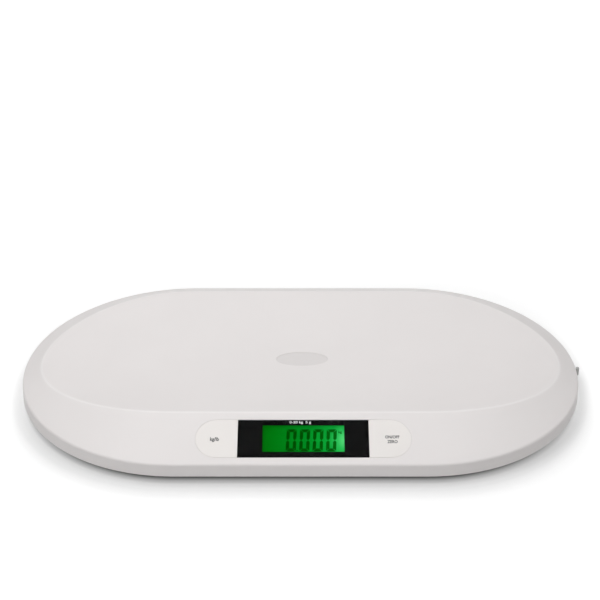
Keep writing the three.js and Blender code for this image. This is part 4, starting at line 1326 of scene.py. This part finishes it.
def tape_button():
    """Round button with a soft edge and a shallow dish for the fingertip, its profile turned once round."""
    low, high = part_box("tape_button")
    radius, flange = BUTTON_RADIUS, (high.x - low.x) / 2
    flange_low = high.z - BUTTON_FLANGE_THICK
    dish, brim = FINGER_SHARES
    corners = [(0, low.z + FINGER_DEPTH, 0), (radius * dish, low.z + FINGER_SLOPE_DEPTH, FINGER_ROUND),
               (radius * brim, low.z, FINGER_ROUND), (radius, low.z, BROAD_ROUND), (radius, flange_low, 0),
               (flange, flange_low, 0), (flange, high.z, 0), (0, high.z, 0)]
    button = turned("button_cap", fillet(corners), (*middle_of("tape_button"), 0), FINE_TURN_STEPS)
    return dress(soften(button), "tape_part", "tape_button", "tape_white", "tape_button")


# Measuring tape

def pull_tab(y, low_z, high_z):
    """Rounded plate at the end of the tape, with a slot that grips the blade."""
    blade_low, blade_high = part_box("tape_blade")
    tab_low, tab_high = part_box("tape_tab")
    half_long, half_thick = (tab_high.x - tab_low.x) / 2, (tab_high.y - tab_low.y) / 2
    tab = plate("tape_pull_tab", rounded_box(half_long, half_thick, TAB_ROUND),
                rounded_levels(tab_low.z, tab_high.z, TAB_ROUND / 2, TAB_ROUND / 2),
                upright((tab_low.x + tab_high.x) / 2, y))
    cut(tab, boxes("grip", [tab_low.x - GAP, blade_low.y - TAB_FIT, low_z - TAB_FIT],
                   [blade_high.x + TAB_FIT, blade_high.y + TAB_FIT, high_z + TAB_FIT]))
    return dress(soften(tab), "tab", "tape", "tape_white", "tape_tab")


def tape():
    """Pull tab, and the ticks and figures on the side of the blade that faces the front."""
    y, low_z, high_z = tape_line()
    pull_tab(y, low_z, high_z)
    face_y = y - (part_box("tape_blade")[1].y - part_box("tape_blade")[0].y) / 2
    count = np.arange(TICK_COUNT)
    length = np.where(count % TICKS_PER_FIGURE == 0, TICK_LONG,
                      np.where(count % (TICKS_PER_FIGURE // 2) == 0, TICK_MIDDLE, TICK_SHORT))
    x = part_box("tape_tab")[0].x - TICK_FROM_TAB - TICK_PITCH * count
    faces = np.full(TICK_COUNT, face_y)
    lows = np.stack([x - TICK_WIDTH / 2, faces - PRINT_THICK, high_z - length], axis=-1)
    highs = np.stack([x + TICK_WIDTH / 2, faces, np.full(TICK_COUNT, high_z)], axis=-1)
    dress(boxes("tape_ticks", lows, highs), "print_black", "tape", "tape_white")
    figures = [(str(number), FIGURE_HEIGHT, x[TICKS_PER_FIGURE * number], high_z - FIGURE_DROP)
               for number in range(FIGURE_COUNT)]

    def place(points):
        return np.stack([points[:, 0], face_y - points[:, 2], points[:, 1]], axis=-1)
    dress(print_piece("tape_figures", figures, place), "print_black", "tape", "tape_white")


# Batteries

def battery(number):
    """AAA cell: sleeve with rolled edges, flat end and raised tip, a profile turned once round its axis.

    Cells with an odd number have their tip toward +X, the others toward -X."""
    node = f"battery_{number}"
    low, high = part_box(node)
    radius = (high.z - low.z) / 2
    side, flat = (1, low.x) if number % 2 else (-1, high.x)
    length = high.x - low.x - TIP_LENGTH
    rolled = length - TIP_END_STEP
    corners = [(0, 0, 0), (radius * FLAT_SHARE, 0, FINE_ROUND),
               (radius * SLEEVE_SHARE, FLAT_END_STEP, CRISP_ROUND), (radius, FLAT_END_STEP, BROAD_ROUND),
               (radius, rolled, BROAD_ROUND), (radius * FLAT_SHARE, rolled, CRISP_ROUND),
               (radius * SHOULDER_SHARE, length, CRISP_ROUND), (TIP_RADIUS, length, 0),
               (TIP_RADIUS, length + TIP_LENGTH, FINE_ROUND), (0, length + TIP_LENGTH, 0)]
    profile = [(r, flat + side * place) for r, place in fillet(corners)]
    centre = (0, (low.y + high.y) / 2, (low.z + high.z) / 2)
    cell = turned(f"cell_{number}", profile, centre, CELL_TURN_STEPS, along=(2, 0, 1))
    return dress(soften(cell), "jacket", "housing", "cell_jacket", node)


# CAD pieces that keep their shape and get a finish of their own
CARRIED_LOOKS = {
    "light_guide": ["backlight_plate"],
    "elastomer": ["contact_strip"],
    "lens_mount": ["lcd_frame"],
    "board": ["main_board"],
    "part_black": ["unit_switch", "power_switch", "controller_chip"],
    "steel": ["board_screw_1", "board_screw_2"] + ["load_cell_" + corner for corner in CORNERS],
    "holder": ["tape_guide"] + ["cell_holder_" + corner for corner in CORNERS],
    "wire_red": ["battery_lead_red", "cell_lead_left_front", "cell_lead_right_front"],
    "wire_black": ["battery_lead_black", "cell_lead_left_back", "cell_lead_right_back"],
    "contact": ["battery_contact_" + end for end in ("plus", "minus", "middle", "front", "back")],
    "tape": ["tape_blade"],
    "tape_part": ["tape_spool"],
    "spring": ["rewind_spring"],
}


def dress_carried():
    """Gives each CAD piece that keeps its shape its material."""
    for look, nodes in CARRIED_LOOKS.items():
        for node in nodes:
            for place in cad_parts[node].material_slots:
                place.material = LOOKS[look]


# Stage: floor, light and camera

FLOOR_HALF = 6.0
FLOOR_TONE = (0.94, 0.94, 0.94, 1)
FLOOR_PATCH = 0.5
FLOOR_SPREAD = 0.01
# Lift of the seen floor toward white by distance out from the outline: the low stops near the outline paint
# the shape of the shadow
LIFT_STOPS = [
    (-0.0095, 0.05), (-0.0045, 0.34), (-0.001, 0.32), (0.0035, 0.20), (0.01, 0.09), (0.017, 0.10),
    (0.025, 0.14), (0.04, 0.17), (0.35, 0.8),
]
# Extra lift at the ends, which paints their shadow narrower
END_LIFT = 0.2
END_LIFT_POWER = 8
# Reach of the ambient occlusion that darkens the seen floor as a painted contact shadow
PAINTED_SHADE_REACH = 0.035
WORLD_LIGHT = 0.08

# Each lamp: its middle, its two sides and its power in watts; all of them face the origin
LAMPS = {
    "left_strip": ((-0.55, 0, 1.6), (1.2, 0.6), 11.0),
    "right_strip": ((0.55, 0, 1.6), (1.2, 0.6), 7.6),
    "front_softbox": ((0, -0.9, 1.4), (1.4, 0.8), 2.6),
    "near_panel": ((-0.1, -0.5, 0.85), (0.7, 0.5), 1.2),
    "left_panel": ((-0.8, -0.3, 1.0), (0.6, 0.6), 1.3),
    "right_panel": ((1.3, 0, 1.0), (1.0, 0.8), 1.4),
    "back_softbox": ((0, 0.9, 1.4), (1.4, 0.8), 1.2),
}


def floor_look():
    """Matte white floor: it keeps the object's shadow, and where the camera sees it, its colour is darkened
    by ambient occlusion, a painted contact shadow, and it is lifted to white.

    LIFT_STOPS gives the lift at distances out from the platform's outline; kept low near the outline, it
    paints the shape of the shadow there. A distance is the length of (x, y), its x first brought in by the
    straight part of the outline, less the end radius. The ends get
    END_LIFT on top, times a power of the cosine of the direction: more lift there paints their shadow
    narrower.
    """
    finish = Finish("white_floor")
    rays = finish.tree.nodes.new("ShaderNodeLightPath").outputs
    seen = finish.number("MAXIMUM", rays["Is Camera Ray"], rays["Is Glossy Ray"])
    seen = finish.number("MAXIMUM", seen, rays["Is Transmission Ray"])
    # Ambient occlusion multiplied into the colour where the camera sees the floor: a painted contact shadow
    contact = finish.step("ShaderNodeAmbientOcclusion", "AO", {"Distance": PAINTED_SHADE_REACH})
    near_white = finish.ramp(finish.noise(FLOOR_PATCH), [
        (CLOUD_LOW, FLOOR_TONE), (CLOUD_HIGH, shaded(FLOOR_TONE, 1 + FLOOR_SPREAD))])
    finish.set(Base_Color=finish.mix(seen, near_white, contact, "MULTIPLY"), Roughness=1.0,
               Specular_IOR_Level=0.0)
    from_middle = finish.vector("ABSOLUTE", finish.vector("SUBTRACT", finish.place, (CENTRE_X, 0, 0)))
    beyond = finish.vector("MAXIMUM", finish.vector("SUBTRACT", from_middle, (SPINE_HALF, 0, 0)), (0, 0, 0))
    away = finish.vector("LENGTH", beyond)
    first, last = LIFT_STOPS[0][0], LIFT_STOPS[-1][0]
    along = finish.between(away, 0, 1, END_RADIUS + first, END_RADIUS + last)
    lift = finish.ramp(along, [((out - first) / (last - first), (share, share, share, 1))
                               for out, share in LIFT_STOPS])
    cosine = finish.number("DIVIDE", finish.vector("DOT_PRODUCT", beyond, (1, 0, 0)), away)
    at_ends = finish.number("MULTIPLY", finish.number("POWER", cosine, END_LIFT_POWER), END_LIFT)
    lift = finish.number("MULTIPLY", seen, finish.number("ADD", lift, at_ends))
    return finish.set(Emission_Color=(1, 1, 1, 1), Emission_Strength=lift).material


def build_floor():
    """One large square that the part stands on."""
    mesh = bpy.data.meshes.new("floor")
    corners = [(x * FLOOR_HALF, y * FLOOR_HALF, 0) for x, y in ((-1, -1), (1, -1), (1, 1), (-1, 1))]
    mesh.from_pydata(corners, [], [(0, 1, 2, 3)])
    floor = bpy.data.objects.new("floor", mesh)
    bpy.context.scene.collection.objects.link(floor)
    mesh.materials.append(floor_look())


def build_world():
    """White all round where it is seen, and a plain soft light elsewhere."""
    world = bpy.data.worlds.new("studio")
    world.use_nodes = True
    bpy.context.scene.world = world
    tree = world.node_tree
    background = tree.nodes["Background"]
    rays = tree.nodes.new("ShaderNodeLightPath")
    strength = tree.nodes.new("ShaderNodeMapRange")
    strength.inputs["To Min"].default_value = WORLD_LIGHT
    strength.inputs["To Max"].default_value = 1.0
    tree.links.new(rays.outputs["Is Camera Ray"], strength.inputs["Value"])
    tree.links.new(strength.outputs["Result"], background.inputs["Strength"])
    background.inputs["Color"].default_value = (1, 1, 1, 1)


def build_lamps():
    """Rectangular lamps, turned so that their faces look at the origin."""
    for name, (place, (width, depth), power) in LAMPS.items():
        light = bpy.data.lights.new(name, "AREA")
        light.shape = "RECTANGLE"
        light.size = width
        light.size_y = depth
        light.energy = power
        lamp = bpy.data.objects.new(name, light)
        bpy.context.scene.collection.objects.link(lamp)
        lamp.location = place
        reach = math.hypot(*place)
        lamp.rotation_euler = (math.acos(place[2] / reach), 0, math.atan2(place[0], -place[1]))


def build_camera():
    """Camera at the photograph's place, tilted down toward the front of the part."""
    data = bpy.data.cameras.new("camera")
    data.lens = CAMERA_LENS
    data.sensor_width = CAMERA_SENSOR
    camera = bpy.data.objects.new("camera", data)
    camera.location = CAMERA_PLACE
    camera.rotation_euler = (math.radians(CAMERA_TILT_DEGREES), 0, 0)
    bpy.context.scene.collection.objects.link(camera)
    bpy.context.scene.camera = camera


build_camera()
platform_cover()
tray_badge()
display()
base_shell()
battery_door()
for corner_name in CORNERS:
    foot(corner_name)
for screw_number in range(1, 5):
    case_screw(screw_number)
    battery(screw_number)
tape_button()
tape()
dress_carried()
build_floor()
build_world()
build_lamps()
bpy.context.scene.view_settings.view_transform = "Standard"
